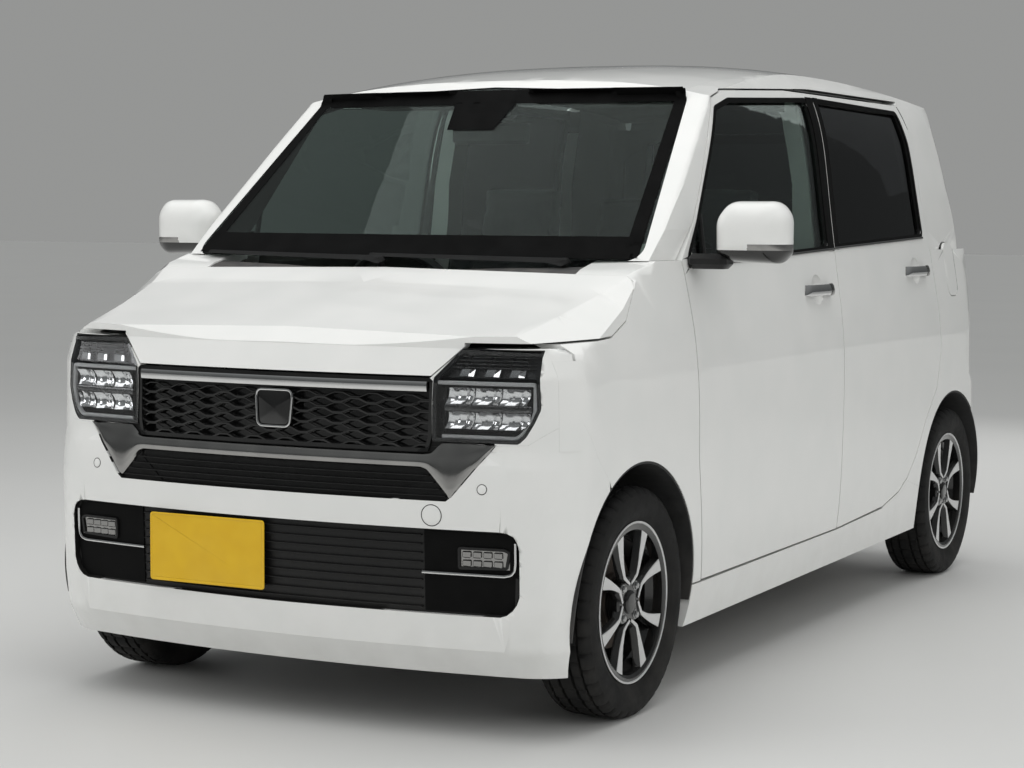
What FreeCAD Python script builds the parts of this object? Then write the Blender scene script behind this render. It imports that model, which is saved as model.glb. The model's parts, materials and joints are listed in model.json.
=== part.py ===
import FreeCAD, Part
import math
import os

"""A tall kei car at full size, in millimetres.

The car faces -Y, its left side is +X and up is +Z. The origin is on the ground under the middle of
the car. Every panel is cut from the same body form: a cross section that narrows towards the roof,
plan outlines that bow at the nose and tail, and a bonnet and roof surface on top.
"""

V = FreeCAD.Vector

# Overall sizes
LENGTH = 3395.0
WIDTH = 1475.0
ROOF_HEIGHT = 1655.0
WHEELBASE = 2520.0
FRONT_OVERHANG = 485.0
TRACK = 1305.0
UNDERSIDE = 165.0

# Wheels and tyres
TYRE_RADIUS = 278.5
TYRE_WIDTH = 155.0
RIM_LIP_RADIUS = 195.0
BEAD_RADIUS = 180.0
RIM_WIDTH = 134.0
SPINDLE_RADIUS = 20.0
SPINDLE_CLEARANCE = 0.05
LUG_CIRCLE = 100.0
LUG_COUNT = 4
LUG_HOLE_RADIUS = 6.5
ARCH_RADIUS = 340.0
DISC_RADIUS = 116.0

# Panel thicknesses and gaps
SEAM = 5.0
SEAT_GAP = 0.3
SKIN = 25.0
WALL = 60.0
DOOR_THICKNESS = 70.0
DOOR_SKIN = 20.0
SASH_THICKNESS = 34.0
GLASS = 5.0
GLASS_DEPTH = 10.0
ROOF_THICKNESS = 35.0
GATE_THICKNESS = 55.0

# Body form: how far each height is drawn in from the full half width
SIDE_FORM = (
    (UNDERSIDE - 15, 34.0), (250, 15.5), (350, 5.5), (600, 0.0), (850, 7.5), (960, 21.5),
    (1050, 36.0), (1300, 72.5), (1500, 112.5),
)
ROOF_SHOULDER = ((1560, 137.5), (1618, 190.0))
SHOULDER_TOP = (430.0, 1668.0)
SIDE_SLOPE = 0.2136
BELT_FOOT = 1000.0

# Nose and tail: setback of the centre line from the ends at each height
NOSE_FORM = (
    (UNDERSIDE - 15, 60.0), (215, 20.0), (300, 8.0), (450, 2.0), (560, 0.0), (640, 8.0),
    (668, 16.0), (835, 20.0), (900, 46.0), (1120, 60.0),
)
TAIL_FORM = (
    (UNDERSIDE - 15, 70.0), (215, 26.0), (300, 12.0), (450, 2.0), (560, 0.0), (640, 8.0),
    (668, 36.0), (835, 47.0), (900, 51.0), (1120, 70.0),
)
SCREEN_FORM = ((1040, 492.0), (1200, 686.0), (1400, 928.5), (1560, 1123.0), (1700, 1290.0))
GATE_FORM = ((1040, 60.0), (1120, 70.0), (1200, 84.0), (1400, 146.0), (1560, 208.0), (1700, 262.0))
BOW_RADIUS = 3440.0
SCREEN_BOW_RADIUS = 2890.0
NOSE_CORNER = 150.0
TAIL_CORNER = 125.0

# Bonnet: distance behind the nose, centre height, shoulder half width, shoulder drop
BONNET_FORM = (
    (-60.0, 868.0, 560.0, 10.0), (52.0, 905.0, 585.0, 10.0), (84.0, 938.0, 596.0, 12.0),
    (262.0, 990.0, 622.0, 18.0), (420.0, 1034.0, 650.0, 16.0), (545.0, 1078.0, 684.0, 8.0),
    (700.0, 1112.0, 700.0, 8.0),
)
SHOULDER_FALL = 64.0

# Roof surface: its highest place behind the nose, drop of the crown at each half width, and long arcs
ROOF_PEAK = 2080.0
ROOF_REACH = 380.0
ROOF_CROWN = ((330.0, 9.0), (548.0, 36.0), (680.0, 66.0))
ROOF_FRONT_RADIUS = 5200.0
ROOF_BACK_RADIUS = 11500.0

# Running gear
HUB_FACE = 42.0
HUB_RADIUS = 62.0
SPOKE_PAIRS = 4
SPOKE_DEPTH = 16.0
BALL_JOINT = (605.0, 190.0)
STRUT_TOP = (461.0, 760.0)
STRUT_RADIUS = 23.0
CLAMP_BOTTOM = 355.0
CLAMP_TOP = 408.0
RAIL_IN = 325.0
RAIL_OUT = 385.0
CROSS_BOTTOM = 215.0
CROSS_TOP = 290.0
ARM_LENGTH = 300.0
LINER_IN = 560.0
ENGINE_HALF = 300.0
TANK_BOTTOM = 170.0
SKIRT_BOTTOM = 167.0

# Cabin
FLOOR = 228.0
FLOOR_THICKNESS = 22.0
REAR_FLOOR = 400.0
COWL_TOP = 1039.0
COWL_DEPTH = 4.0
HINGE_LEAF_X = 500.0
FENDER_IN = 540.0
POST_FRONT = 318.0
DASH_HALF = 560.0
DRIVER_X = 325.0
WHEEL_HUB = (-505.0, 940.0)
COLUMN_LEAN = 27.0
STEERING_RADIUS = 178.0
SEAT_HEIGHT = 520.0
SEAT_FRONT = -480.0
SEAT_HALF = 235.0
REAR_SEAT_HALF = 545.0
WIPER_OFF = 5.0
WIPER_DEPTH = 16.0
MIRROR_BACK = 395.0
MIRROR_HEIGHT = 1167.0
MIRROR_IN = 768.0
MIRROR_OUT = 955.0

# Places along the car
NOSE = -LENGTH / 2
TAIL = LENGTH / 2
FRONT_AXLE = NOSE + FRONT_OVERHANG
REAR_AXLE = FRONT_AXLE + WHEELBASE
HALF = WIDTH / 2
WHEEL_X = TRACK / 2
KICK_UP = REAR_AXLE - 345

# Door and bonnet seams in the side view: distance behind the front axle, height
DOOR_FRONT = ((393, 277), (347, 588), (344, 801), (340, 927), (326, 1054), (316, 1092))
DOOR_BOTTOM = ((393, 277), (1438, 292), (1820, 303))
DOOR_SPLIT = ((1408, 285), (1468, 1573))
REAR_DOOR_BACK = ((1820, 303), (1974, 335), (2051, 372), (2131, 437), (2224, 542), (2336, 640),
                  (2384, 767), (2378, 916), (2364, 1110), (2330, 1255), (2308, 1484), (2268, 1566))
BELT = ((698, 1079), (1430, 1111), (2316, 1138))
FRAME_TOP = ((671, 1515), (771, 1540), (2287, 1572))
PILLAR_FRONT = ((316, 1092), (430, 1192), (671, 1515))
FRONT_WINDOW = ((352, 1080), (450, 1182), (678, 1482), (790, 1508), (1408, 1536), (1396, 1112))
REAR_WINDOW = ((1482, 1118), (1500, 1538), (2232, 1530), (2262, 1440), (2296, 1142))
BONNET_CUT = ((-560, 905), (-318, 914), (-144, 922), (-56, 955), (30, 1048), (38, 1080), (38, 1300),
              (-560, 1300))
BONNET_REAR = FRONT_AXLE + BONNET_CUT[5][0]
BUMPER_TOP_BACK = ((-330, 770), (-245, 650), (-182, 590))

# Lamps, grille and intake in the front view: distance from the middle, height
LAMP_OUTLINE = ((403, 676), (410, 828), (472, 900), (800, 905), (800, 800), (640, 688))
GRILLE_HALF_WIDTH = 398.0
GRILLE_BOTTOM = 664.0
GRILLE_TOP = 833.0
INTAKE_TOP = 490.0
INTAKE_BOTTOM = 295.0
INTAKE_HALF_TOP = 626.0
INTAKE_HALF_BOTTOM = 560.0
SLOT_TOP = 627.0
SLOT_BOTTOM = 556.0
SLOT_HALF_TOP = 420.0
SLOT_HALF_BOTTOM = 330.0
LAMP_DEPTH = 120.0

# Windscreen outline in the front view
SCREEN_OUTLINE = ((662, 1092), (566, 1524))
SCREEN_TOP = 1546.0
PILLAR_SEAM = 1092.0
ROOF_SEAM_X = 548.0
FIN_FROM_GATE = 150.0
FIN_LENGTH = 110.0
FIN_WIDTH = 34.0

# Tailgate in the rear view, and its pane
GATE_SEAM = 1440.0
GATE_BOTTOM = 672.0
GATE_HALF_FOOT = 585.0
GATE_HALF_BELT = 590.0
GATE_HALF_TOP = 520.0
REAR_GLASS_BOTTOM = 1118.0
REAR_GLASS_TOP = 1490.0
REAR_GLASS_HALF_FOOT = 520.0
REAR_GLASS_HALF_TOP = 450.0

# Fuel lid: centre behind the rear axle and height, size and thickness
LID_CENTRE = (42.0, 1025.0)
LID_SIZE = (108.0, 176.0)
LID_THICKNESS = 8.0
LID_POCKET = 20.0

# Inner posts and sill
POST_DEPTH = 50.0
SILL_BOTTOM = 225.0
SILL_TOP = 330.0
B_POST = 225.0
B_POST_WIDTH = 90.0


def mirror(shape):
    """The same shape on the other side of the car."""
    return shape.mirror(V(0, 0, 0), V(1, 0, 0))


def both(shape):
    """A compound of a left-hand shape and its mirror image."""
    return Part.makeCompound([shape, mirror(shape)])


def box(x0, x1, y0, y1, z0, z1):
    """A block between two corners."""
    return Part.makeBox(x1 - x0, y1 - y0, z1 - z0, V(x0, y0, z0))


def rounded_loop(points, place, radius=0.0):
    """A closed wire through flat points, each with the radius given or one of its own."""
    count = len(points)
    edges = []
    previous_end = None
    first_start = None
    for index in range(count):
        before = points[index - 1]
        corner = points[index]
        after = points[(index + 1) % count]
        size = corner[2] if len(corner) > 2 else radius
        a = V(before[0] - corner[0], before[1] - corner[1], 0)
        b = V(after[0] - corner[0], after[1] - corner[1], 0)
        turn = math.pi - a.getAngle(b)
        reach = min(size * math.tan(turn / 2), 0.45 * a.Length, 0.45 * b.Length)
        here = V(corner[0], corner[1], 0)
        if reach < 0.05:
            start = end = here
        else:
            start = here + a.normalize() * reach
            end = here + b.normalize() * reach
            bulge = reach / math.tan(turn / 2)
            middle = (start + end) * 0.5
            inward = (middle - here).normalize()
            centre = here + inward * math.hypot(bulge, reach)
            top = centre - inward * bulge
            arc = Part.Arc(place(start), place(top), place(end)).toShape()
        if previous_end is not None and (start - previous_end).Length > 0.01:
            edges.append(Part.LineSegment(place(previous_end), place(start)).toShape())
        if reach >= 0.05:
            edges.append(arc)
        if first_start is None:
            first_start = start
        previous_end = end
    edges.append(Part.LineSegment(place(previous_end), place(first_start)).toShape())
    return Part.Wire(edges)


def side_prism(points, x0, x1, radius=0.0):
    """Flat (y, z) points carried along X."""
    wire = rounded_loop(points, lambda p: V(x0, p.x, p.y), radius)
    return Part.Face(wire).extrude(V(x1 - x0, 0, 0))


def front_prism(points, y0, y1, radius=0.0):
    """Flat (x, z) points carried along Y."""
    wire = rounded_loop(points, lambda p: V(p.x, y0, p.y), radius)
    return Part.Face(wire).extrude(V(0, y1 - y0, 0))


def plan_prism(points, z0, z1, radius=0.0):
    """Flat (x, y) points carried along Z."""
    wire = rounded_loop(points, lambda p: V(p.x, p.y, z0), radius)
    return Part.Face(wire).extrude(V(0, 0, z1 - z0))


def rod(start, end, radius):
    """A round bar between two points."""
    along = end - start
    return Part.makeCylinder(radius, along.Length, start, along)


def behind_axle(points):
    """Seam points given behind the front axle, as (y, z) points of the car."""
    return [(FRONT_AXLE + p[0],) + tuple(p[1:]) for p in points]


def half_width(z):
    """Half width of the body side at a height, straight between the points of its form."""
    below = SIDE_FORM[0]
    for above in SIDE_FORM[1:]:
        if z <= above[0]:
            share = (z - below[0]) / (above[0] - below[0])
            return HALF - below[1] - share * (above[1] - below[1])
        below = above
    return HALF - below[1]


def section_form(inset):
    """The body's cross section to the top of the windows, carried along the whole car."""
    points = [V(HALF - draw - inset, NOSE - 50, z) for z, draw in SIDE_FORM]
    top = V(HALF - ROOF_SHOULDER[0][1] - inset, NOSE - 50, ROOF_SHOULDER[0][0])
    right = Part.BSplineCurve()
    right.interpolate(points + [top])
    left_points = [V(-p.x, p.y, p.z) for p in reversed(points + [top])]
    left = Part.BSplineCurve()
    left.interpolate(left_points)
    edges = [
        right.toShape(),
        Part.LineSegment(top, left_points[0]).toShape(),
        left.toShape(),
        Part.LineSegment(left_points[-1], points[0]).toShape(),
    ]
    return Part.Face(Part.Wire(edges)).extrude(V(0, LENGTH + 100, 0))


def plan_wire(z, front, back, half, bow, corner_front, corner_back):
    """A plan outline: bowed front and back, straight sides and rounded corners."""
    def bow_at(x):
        return bow - math.sqrt(bow * bow - x * x)

    flat_front = half - corner_front
    flat_back = half - corner_back
    y_front = front + bow_at(flat_front)
    y_back = back - bow_at(flat_back)
    lean_front = math.asin(flat_front / bow)
    lean_back = math.asin(flat_back / bow)

    def corner(sign, y_end, lean, radius, forward):
        x_in = sign * (half - radius)
        turn = (math.pi / 2 - lean) / 2
        reach = radius * math.tan(turn)
        y_side = y_end + forward * (radius - (radius - reach) * 0.0)
        middle = V(sign * (half - 0.29 * radius), y_end + forward * 0.36 * radius, z)
        return V(x_in, y_end, z), middle, V(sign * half, y_side, z)

    rf_in, rf_mid, rf_out = corner(1, y_front, lean_front, corner_front, 1)
    lf_in, lf_mid, lf_out = corner(-1, y_front, lean_front, corner_front, 1)
    rb_in, rb_mid, rb_out = corner(1, y_back, lean_back, corner_back, -1)
    lb_in, lb_mid, lb_out = corner(-1, y_back, lean_back, corner_back, -1)
    edges = [
        Part.Arc(lf_in, V(0, front, z), rf_in).toShape(),
        Part.Arc(rf_in, rf_mid, rf_out).toShape(),
        Part.LineSegment(rf_out, rb_out).toShape(),
        Part.Arc(rb_out, rb_mid, rb_in).toShape(),
        Part.Arc(rb_in, V(0, back, z), lb_in).toShape(),
        Part.Arc(lb_in, lb_mid, lb_out).toShape(),
        Part.LineSegment(lb_out, lf_out).toShape(),
        Part.Arc(lf_out, lf_mid, lf_in).toShape(),
    ]
    return Part.Wire(edges)


def at_height(form, z):
    """The setback of a nose or tail form at a height."""
    below = form[0]
    for above in form[1:]:
        if z <= above[0]:
            share = (z - below[0]) / (above[0] - below[0])
            return below[1] + share * (above[1] - below[1])
        below = above
    return below[1]


def lower_form(inset):
    """Everything below the windows, with the bonnet on top of its front."""
    heights = sorted({z for z, _ in NOSE_FORM} | {z for z, _ in TAIL_FORM})
    wires = []
    for z in heights:
        wires.append(plan_wire(
            z, NOSE + at_height(NOSE_FORM, z) + inset, TAIL - at_height(TAIL_FORM, z) - inset,
            HALF - inset, BOW_RADIUS, NOSE_CORNER - inset, TAIL_CORNER - inset,
        ))
    plan = Part.makeLoft(wires, True, True)
    return plan.common(section_form(inset)).common(bonnet_form(inset))


def bonnet_form(inset):
    """The space under the bonnet surface, which is level behind the windscreen's foot."""
    wires = []
    bottom = UNDERSIDE - 60
    for back, centre, shoulder, drop in BONNET_FORM:
        y = NOSE + back
        top = centre - inset
        edge = HALF + 30
        fall = (edge - shoulder) * SHOULDER_FALL / (HALF - 622.0)
        wires.append(Part.makePolygon([
            V(-edge, y, bottom), V(-edge, y, top - drop - fall), V(-shoulder + inset, y, top - drop),
            V(0, y, top), V(shoulder - inset, y, top - drop), V(edge, y, top - drop - fall),
            V(edge, y, bottom), V(-edge, y, bottom),
        ]))
    front = Part.makeLoft(wires, True, True)
    y_join = NOSE + BONNET_FORM[-1][0]
    rear = box(-HALF - 30, HALF + 30, y_join, TAIL + 60, bottom, BONNET_FORM[-1][1] - inset)
    return front.fuse(rear)


def shoulder_form(inset):
    """The cross section above the belt, with its rounded shoulders, carried along the car."""
    side = [(HALF - draw - inset, z) for z, draw in SIDE_FORM if z >= BELT_FOOT]
    low = (HALF - ROOF_SHOULDER[0][1] - 0.9 * inset, ROOF_SHOULDER[0][0] - 0.4 * inset)
    high = (HALF - ROOF_SHOULDER[1][1] - 0.6 * inset, ROOF_SHOULDER[1][0] - 0.8 * inset)
    top = (SHOULDER_TOP[0], SHOULDER_TOP[1] - inset)
    half = [V(x, NOSE - 50, z) for x, z in side + [low, high, top]]
    other = [V(-p.x, p.y, p.z) for p in reversed(half)]
    right = Part.BSplineCurve()
    right.interpolate(half)
    left = Part.BSplineCurve()
    left.interpolate(other)
    edges = [
        right.toShape(),
        Part.LineSegment(half[-1], other[0]).toShape(),
        left.toShape(),
        Part.LineSegment(other[-1], half[0]).toShape(),
    ]
    return Part.Face(Part.Wire(edges)).extrude(V(0, LENGTH + 100, 0))


def roof_cap(inset):
    """The crowned roof surface: one cross curve turned on a long arc to the front and one to the back."""
    y_peak = NOSE + ROOF_PEAK
    half = [V(x, y_peak, ROOF_HEIGHT - drop - inset) for x, drop in ROOF_CROWN]
    points = [V(-p.x, p.y, p.z) for p in reversed(half)] + [V(0, y_peak, ROOF_HEIGHT - inset)] + half
    crown = Part.BSplineCurve()
    crown.interpolate(points)
    foot = BELT_FOOT - 400
    edges = [
        crown.toShape(),
        Part.LineSegment(points[-1], V(points[-1].x, y_peak, foot)).toShape(),
        Part.LineSegment(V(points[-1].x, y_peak, foot), V(points[0].x, y_peak, foot)).toShape(),
        Part.LineSegment(V(points[0].x, y_peak, foot), points[0]).toShape(),
    ]
    face = Part.Face(Part.Wire(edges))
    below = ROOF_HEIGHT - BELT_FOOT
    front_angle = math.degrees(math.atan((ROOF_PEAK - ROOF_REACH) / (ROOF_FRONT_RADIUS - below)))
    back_angle = math.degrees(math.atan((LENGTH + 60 - ROOF_PEAK) / (ROOF_BACK_RADIUS - below)))
    front = face.revolve(V(0, y_peak, ROOF_HEIGHT - ROOF_FRONT_RADIUS), V(1, 0, 0), front_angle)
    back = face.revolve(V(0, y_peak, ROOF_HEIGHT - ROOF_BACK_RADIUS), V(1, 0, 0), -back_angle)
    return front.fuse(back)


def upper_form(inset):
    """The glasshouse and roof above the belt line."""
    plans = []
    for z in sorted({z for z, _ in SCREEN_FORM} | {z for z, _ in GATE_FORM}):
        front = NOSE + at_height(SCREEN_FORM, z) + 1.55 * inset
        back = TAIL - at_height(GATE_FORM, z) - 1.05 * inset
        reach = half_width(min(z, 1500)) - SIDE_SLOPE * max(z - 1500, 0) - inset + 2
        plans.append(plan_wire(z, front, back, reach, SCREEN_BOW_RADIUS, 20.0, TAIL_CORNER - inset))
    plan = Part.makeLoft(plans, True, True)
    return plan.common(shoulder_form(inset)).common(roof_cap(inset))


class Form:
    """Body forms at each depth below the surface, each worked out once."""

    made = {}

    @classmethod
    def get(cls, kind, inset):
        key = (kind, inset)
        if key not in cls.made:
            makers = {"section": section_form, "lower": lower_form, "upper": upper_form}
            cls.made[key] = makers[kind](inset)
        return cls.made[key]


def layer(kind, outer, inner):
    """The body's wall between two depths."""
    return Form.get(kind, outer).cut(Form.get(kind, inner))


def grown(points, by):
    """An outline moved outwards by a distance, or inwards if it is negative."""
    wire = Part.makePolygon([V(p[0], p[1], 0) for p in points] + [V(points[0][0], points[0][1], 0)])
    moved = Part.Face(wire).makeOffset2D(by, 2, False, False, False)
    return [(v.Point.x, v.Point.y) for v in moved.OuterWire.OrderedVertexes]


def front_door_points():
    """Outline of the front door in the side view, window frame included."""
    split = [p for p in DOOR_SPLIT]
    outline = list(reversed(DOOR_FRONT)) + list(split)
    outline += list(reversed([p for p in FRAME_TOP if p[0] < split[-1][0] - 20]))
    outline += list(reversed(PILLAR_FRONT[1:-1]))
    return behind_axle(outline)


def rear_door_points():
    """Outline of the rear door in the side view, window frame included."""
    outline = list(reversed(DOOR_SPLIT)) + list(REAR_DOOR_BACK) + [FRAME_TOP[-1]]
    return behind_axle(outline)


def clipped_box(y0, y1, z0, z1):
    """A block of the left half of the car."""
    return box(300, HALF + 60, y0, y1, z0, z1)


def make_door(outline, window, belt_y):
    """A door: a full outer skin, a thick lower part and a thin window frame round its glass."""
    skin_cut = side_prism(grown(outline, -SEAM / 2), 300, HALF + 60, 6)
    inner_cut = side_prism(grown(outline, -SEAM / 2 - 22), 300, HALF + 60, 12)
    window_cut = side_prism(behind_axle(window), 300, HALF + 60, 26)
    section = Form.get("section", 0)
    skin = section.cut(Form.get("section", DOOR_SKIN)).common(skin_cut)
    inner = Form.get("section", DOOR_SKIN).cut(Form.get("section", DOOR_THICKNESS)).common(inner_cut)
    below_belt = side_prism([(NOSE, 0), (TAIL, 0), (TAIL, belt_y[1] - 24), (NOSE, belt_y[0] - 24)], 300, HALF + 60)
    sash = Form.get("section", DOOR_SKIN).cut(Form.get("section", SASH_THICKNESS)).common(inner_cut)
    door = skin.fuse([inner.common(below_belt), sash]).cut(window_cut)
    pane_cut = side_prism(grown(behind_axle(window), -SEAT_GAP), 300, HALF + 60, 26)
    pane = layer("section", GLASS_DEPTH, GLASS_DEPTH + GLASS).common(pane_cut)
    return door.removeSplitter(), pane


def arch_cut(axle, radius, x0, x1):
    """The round wheel opening about an axle."""
    return Part.makeCylinder(radius, x1 - x0, V(x0, axle, TYRE_RADIUS), V(1, 0, 0))


def export(name, shape):
    """Check a piece and write it."""
    solids = shape.Solids
    assert solids, name
    for solid in solids:
        assert solid.isValid(), name
    Part.makeCompound(solids).exportStep("parts/%s.step" % name)
    if len(solids) > 1:
        print(name, len(solids), "solids")


def wall(outer, inner):
    """The whole body wall between two depths, below and above the belt."""
    return layer("lower", outer, inner), layer("upper", outer, inner)


def left_box(x0=0.0):
    """The left half of the car's space, from a distance off its middle."""
    return box(x0, HALF + 100, NOSE - 100, TAIL + 100, 0, ROOF_HEIGHT + 150)


def widened(points, by):
    """Front-view half outline points as a whole symmetric outline, moved outwards."""
    right = [(p[0] + by, p[1]) for p in points]
    return right + [(-x, z) for x, z in reversed(right)]


def screen_points(by=0.0):
    """Outline of the windscreen in the front view, moved outwards by a distance."""
    foot, head = SCREEN_OUTLINE
    half = [(foot[0] + by, foot[1] - by), (head[0] + by, head[1] + by)]
    return half + [(0, SCREEN_TOP + by)] + [(-x, z) for x, z in reversed(half)]


def lamp_points(by=0.0):
    """Outline of the left headlight in the front view."""
    return grown(LAMP_OUTLINE, by) if by else list(LAMP_OUTLINE)


def bumper_side_points(by=0.0):
    """Side-view outline of the front bumper, from the nose to its seam with the fender."""
    seam = [(dy + by, z) for dy, z in BUMPER_TOP_BACK]
    outline = [(-560, 60), (-120 + by, 60)] + list(reversed(seam)) + [(-336 + by, 905), (-560, 905)]
    return behind_axle(outline)


def lamp_side_points(by=0.0):
    """Side-view outline of the space that a headlight may fill."""
    return behind_axle([(-560, 640), (-400 + by, 640), (-330 + by, 775), (-318 + by, 905 + 60),
                        (-560, 905 + 60)])


def bonnet_front_points(by=0.0):
    """Front-view outline of the space that the bonnet may fill."""
    inner, top = LAMP_OUTLINE[1], LAMP_OUTLINE[2]
    half = [(HALF + 40, LAMP_OUTLINE[3][1] + 5 - by), (top[0] + 4, top[1] + SEAM - by),
            (inner[0] - 3, GRILLE_TOP + SEAM - by)]
    return ([(-x, z) for x, z in half] + [(x, z) for x, z in reversed(half)]
            + [(HALF + 40, 1300), (-HALF - 40, 1300)])


def gate_points(by=0.0):
    """Front-view outline of the tailgate."""
    half = [(GATE_HALF_FOOT + by, GATE_BOTTOM - by), (GATE_HALF_FOOT + 14 + by, 930),
            (GATE_HALF_BELT + by, 1130), (GATE_HALF_TOP + by, 1545), (GATE_HALF_TOP - 6 + by, 1720)]
    return half + [(-x, z) for x, z in reversed(half)]


def rear_bumper_points(by=0.0):
    """Side-view outline of the rear bumper."""
    y = REAR_AXLE
    return [(y + 60, 60), (y + 60, 470), (y + 250, 560 + by), (y + 262, GATE_BOTTOM - SEAM + by),
            (TAIL + 60, GATE_BOTTOM - SEAM + by), (TAIL + 60, 60)]


def make_bonnet():
    """The bonnet, which carries the raised sides down to its cut on the body side."""
    cut_side = side_prism(behind_axle([(dy, z + SEAM / 2) for dy, z in BONNET_CUT]), -HALF - 60, HALF + 60)
    face = LAMP_OUTLINE[2][0] + 4
    cut_side = cut_side.fuse(box(-face, face, NOSE - 100, FRONT_AXLE - 300, GRILLE_TOP, 1000))
    cut_front = front_prism(bonnet_front_points(), NOSE - 100, FRONT_AXLE + 400)
    skin = layer("lower", 0, SKIN).common(cut_side).common(cut_front)
    y = BONNET_REAR + SEAM - SEAT_GAP
    leaf = box(HINGE_LEAF_X - 20, HINGE_LEAF_X + 20, y - 16, y, COWL_TOP - 16, COWL_TOP + 14)
    return skin.fuse([leaf, mirror(leaf)]).removeSplitter()


def make_fender():
    """The left front fender, from the headlight to the door."""
    door = [(dy - SEAM / 2, z) for dy, z in DOOR_FRONT]
    cut = [(dy, z - SEAM / 2) for dy, z in BONNET_CUT[1:5]]
    top = PILLAR_SEAM - SEAT_GAP / 2
    outline = cut + [(BONNET_CUT[5][0] + SEAM / 2, top), (door[-1][0], top)]
    outline += list(reversed(door[:-1])) + [(200, 277), (0, 300), (-160, 560)]
    outline += [(dy + SEAT_GAP / 2, z) for dy, z in reversed(BUMPER_TOP_BACK)] + [(-315, 800)]
    fender = layer("lower", 0, SKIN).common(side_prism(behind_axle(outline), FENDER_IN, HALF + 60))
    return fender.cut(arch_cut(FRONT_AXLE, ARCH_RADIUS, 300, HALF + 60))


def make_front_bumper():
    """The front bumper with its grille, slot and intake openings."""
    bumper = layer("lower", 0, SKIN).common(side_prism(bumper_side_points(-SEAT_GAP / 2), -HALF - 60, HALF + 60))
    bumper = bumper.cut(front_prism(bonnet_front_points(SEAM), NOSE - 100, FRONT_AXLE + 400))
    for shape in (front_prism(lamp_points(SEAT_GAP), NOSE - 100, FRONT_AXLE, 4),):
        bumper = bumper.cut(shape).cut(mirror(shape))
    opening = [(GRILLE_HALF_WIDTH, GRILLE_BOTTOM), (GRILLE_HALF_WIDTH + 4, GRILLE_TOP), (GRILLE_HALF_WIDTH + 4, GRILLE_TOP + 30)]
    bumper = bumper.cut(front_prism(widened(opening, 0), NOSE - 100, NOSE + 200, 6))
    slot = [(SLOT_HALF_BOTTOM, SLOT_BOTTOM), (SLOT_HALF_TOP, SLOT_TOP)]
    bumper = bumper.cut(front_prism(widened(slot, 0), NOSE - 100, NOSE + 200, 10))
    intake = [(INTAKE_HALF_BOTTOM, INTAKE_BOTTOM), (INTAKE_HALF_TOP, INTAKE_TOP)]
    bumper = bumper.cut(front_prism(widened(intake, 0), NOSE - 100, NOSE + 200, 40))
    arch = arch_cut(FRONT_AXLE, ARCH_RADIUS, 300, HALF + 60)
    return bumper.cut(arch).cut(mirror(arch))


def make_headlights():
    """The two headlights, filling the corners between bonnet and bumper."""
    lamp = layer("lower", 0, LAMP_DEPTH).common(front_prism(lamp_points(), NOSE - 100, FRONT_AXLE, 4))
    return both(lamp.common(side_prism(lamp_side_points(), 300, HALF + 60)))


def make_upper_grille():
    """The black panel between the headlights."""
    outline = [(GRILLE_HALF_WIDTH - SEAT_GAP, GRILLE_BOTTOM + SEAT_GAP),
               (GRILLE_HALF_WIDTH + 4 - SEAT_GAP, GRILLE_TOP)]
    return layer("lower", 4, SKIN).common(front_prism(widened(outline, 0), NOSE - 100, NOSE + 200, 6))


def make_lower_grille():
    """The black inserts of the slot and the intake, with the bars across them."""
    slot = [(SLOT_HALF_BOTTOM - SEAT_GAP, SLOT_BOTTOM + SEAT_GAP), (SLOT_HALF_TOP - SEAT_GAP, SLOT_TOP - SEAT_GAP)]
    intake = [(INTAKE_HALF_BOTTOM - SEAT_GAP, INTAKE_BOTTOM + SEAT_GAP),
              (INTAKE_HALF_TOP - SEAT_GAP, INTAKE_TOP - SEAT_GAP)]
    skin = layer("lower", SKIN - 8, SKIN)
    parts = []
    for outline, radius in ((slot, 10), (intake, 40)):
        parts.append(skin.common(front_prism(widened(outline, 0), NOSE - 100, NOSE + 200, radius)))
    return Part.makeCompound(parts)


def make_rear_bumper():
    """The rear bumper."""
    bumper = layer("lower", 0, SKIN).common(side_prism(rear_bumper_points(), -HALF - 60, HALF + 60))
    arch = arch_cut(REAR_AXLE, ARCH_RADIUS, 300, HALF + 60)
    return bumper.cut(arch).cut(mirror(arch))


def make_tailgate():
    """The tailgate and its pane."""
    parts = []
    cut = front_prism(gate_points(), GATE_SEAM, TAIL + 60, 10)
    window = [(REAR_GLASS_HALF_FOOT, REAR_GLASS_BOTTOM), (REAR_GLASS_HALF_TOP, REAR_GLASS_TOP)]
    window_cut = front_prism(widened(window, 0), GATE_SEAM - 60, TAIL + 60, 45)
    lower = layer("lower", 0, GATE_THICKNESS)
    upper = layer("upper", 0, GATE_THICKNESS)
    low_zone = box(-HALF, HALF, GATE_SEAM, TAIL + 60, GATE_BOTTOM, 1080)
    high_zone = box(-HALF, HALF, GATE_SEAM, TAIL + 60, 1080, 1750)
    gate = lower.common(low_zone).fuse(upper.common(high_zone)).common(cut).cut(window_cut)
    pane_cut = front_prism(widened([(x - SEAT_GAP, z + (SEAT_GAP if z < 1300 else -SEAT_GAP))
                                    for x, z in window], 0), GATE_SEAM - 60, TAIL + 60, 45)
    pane = layer("upper", 6, 6 + GLASS).common(pane_cut)
    return gate.removeSplitter(), pane


def make_windscreen():
    """The windscreen pane, bowed with the front of the roof."""
    body = Form.get("upper", 0)
    pane = body.cut(body.translated(V(0, GLASS * 1.5, 0)))
    return pane.common(front_prism(screen_points(-SEAT_GAP), NOSE, 0, 30))


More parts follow.
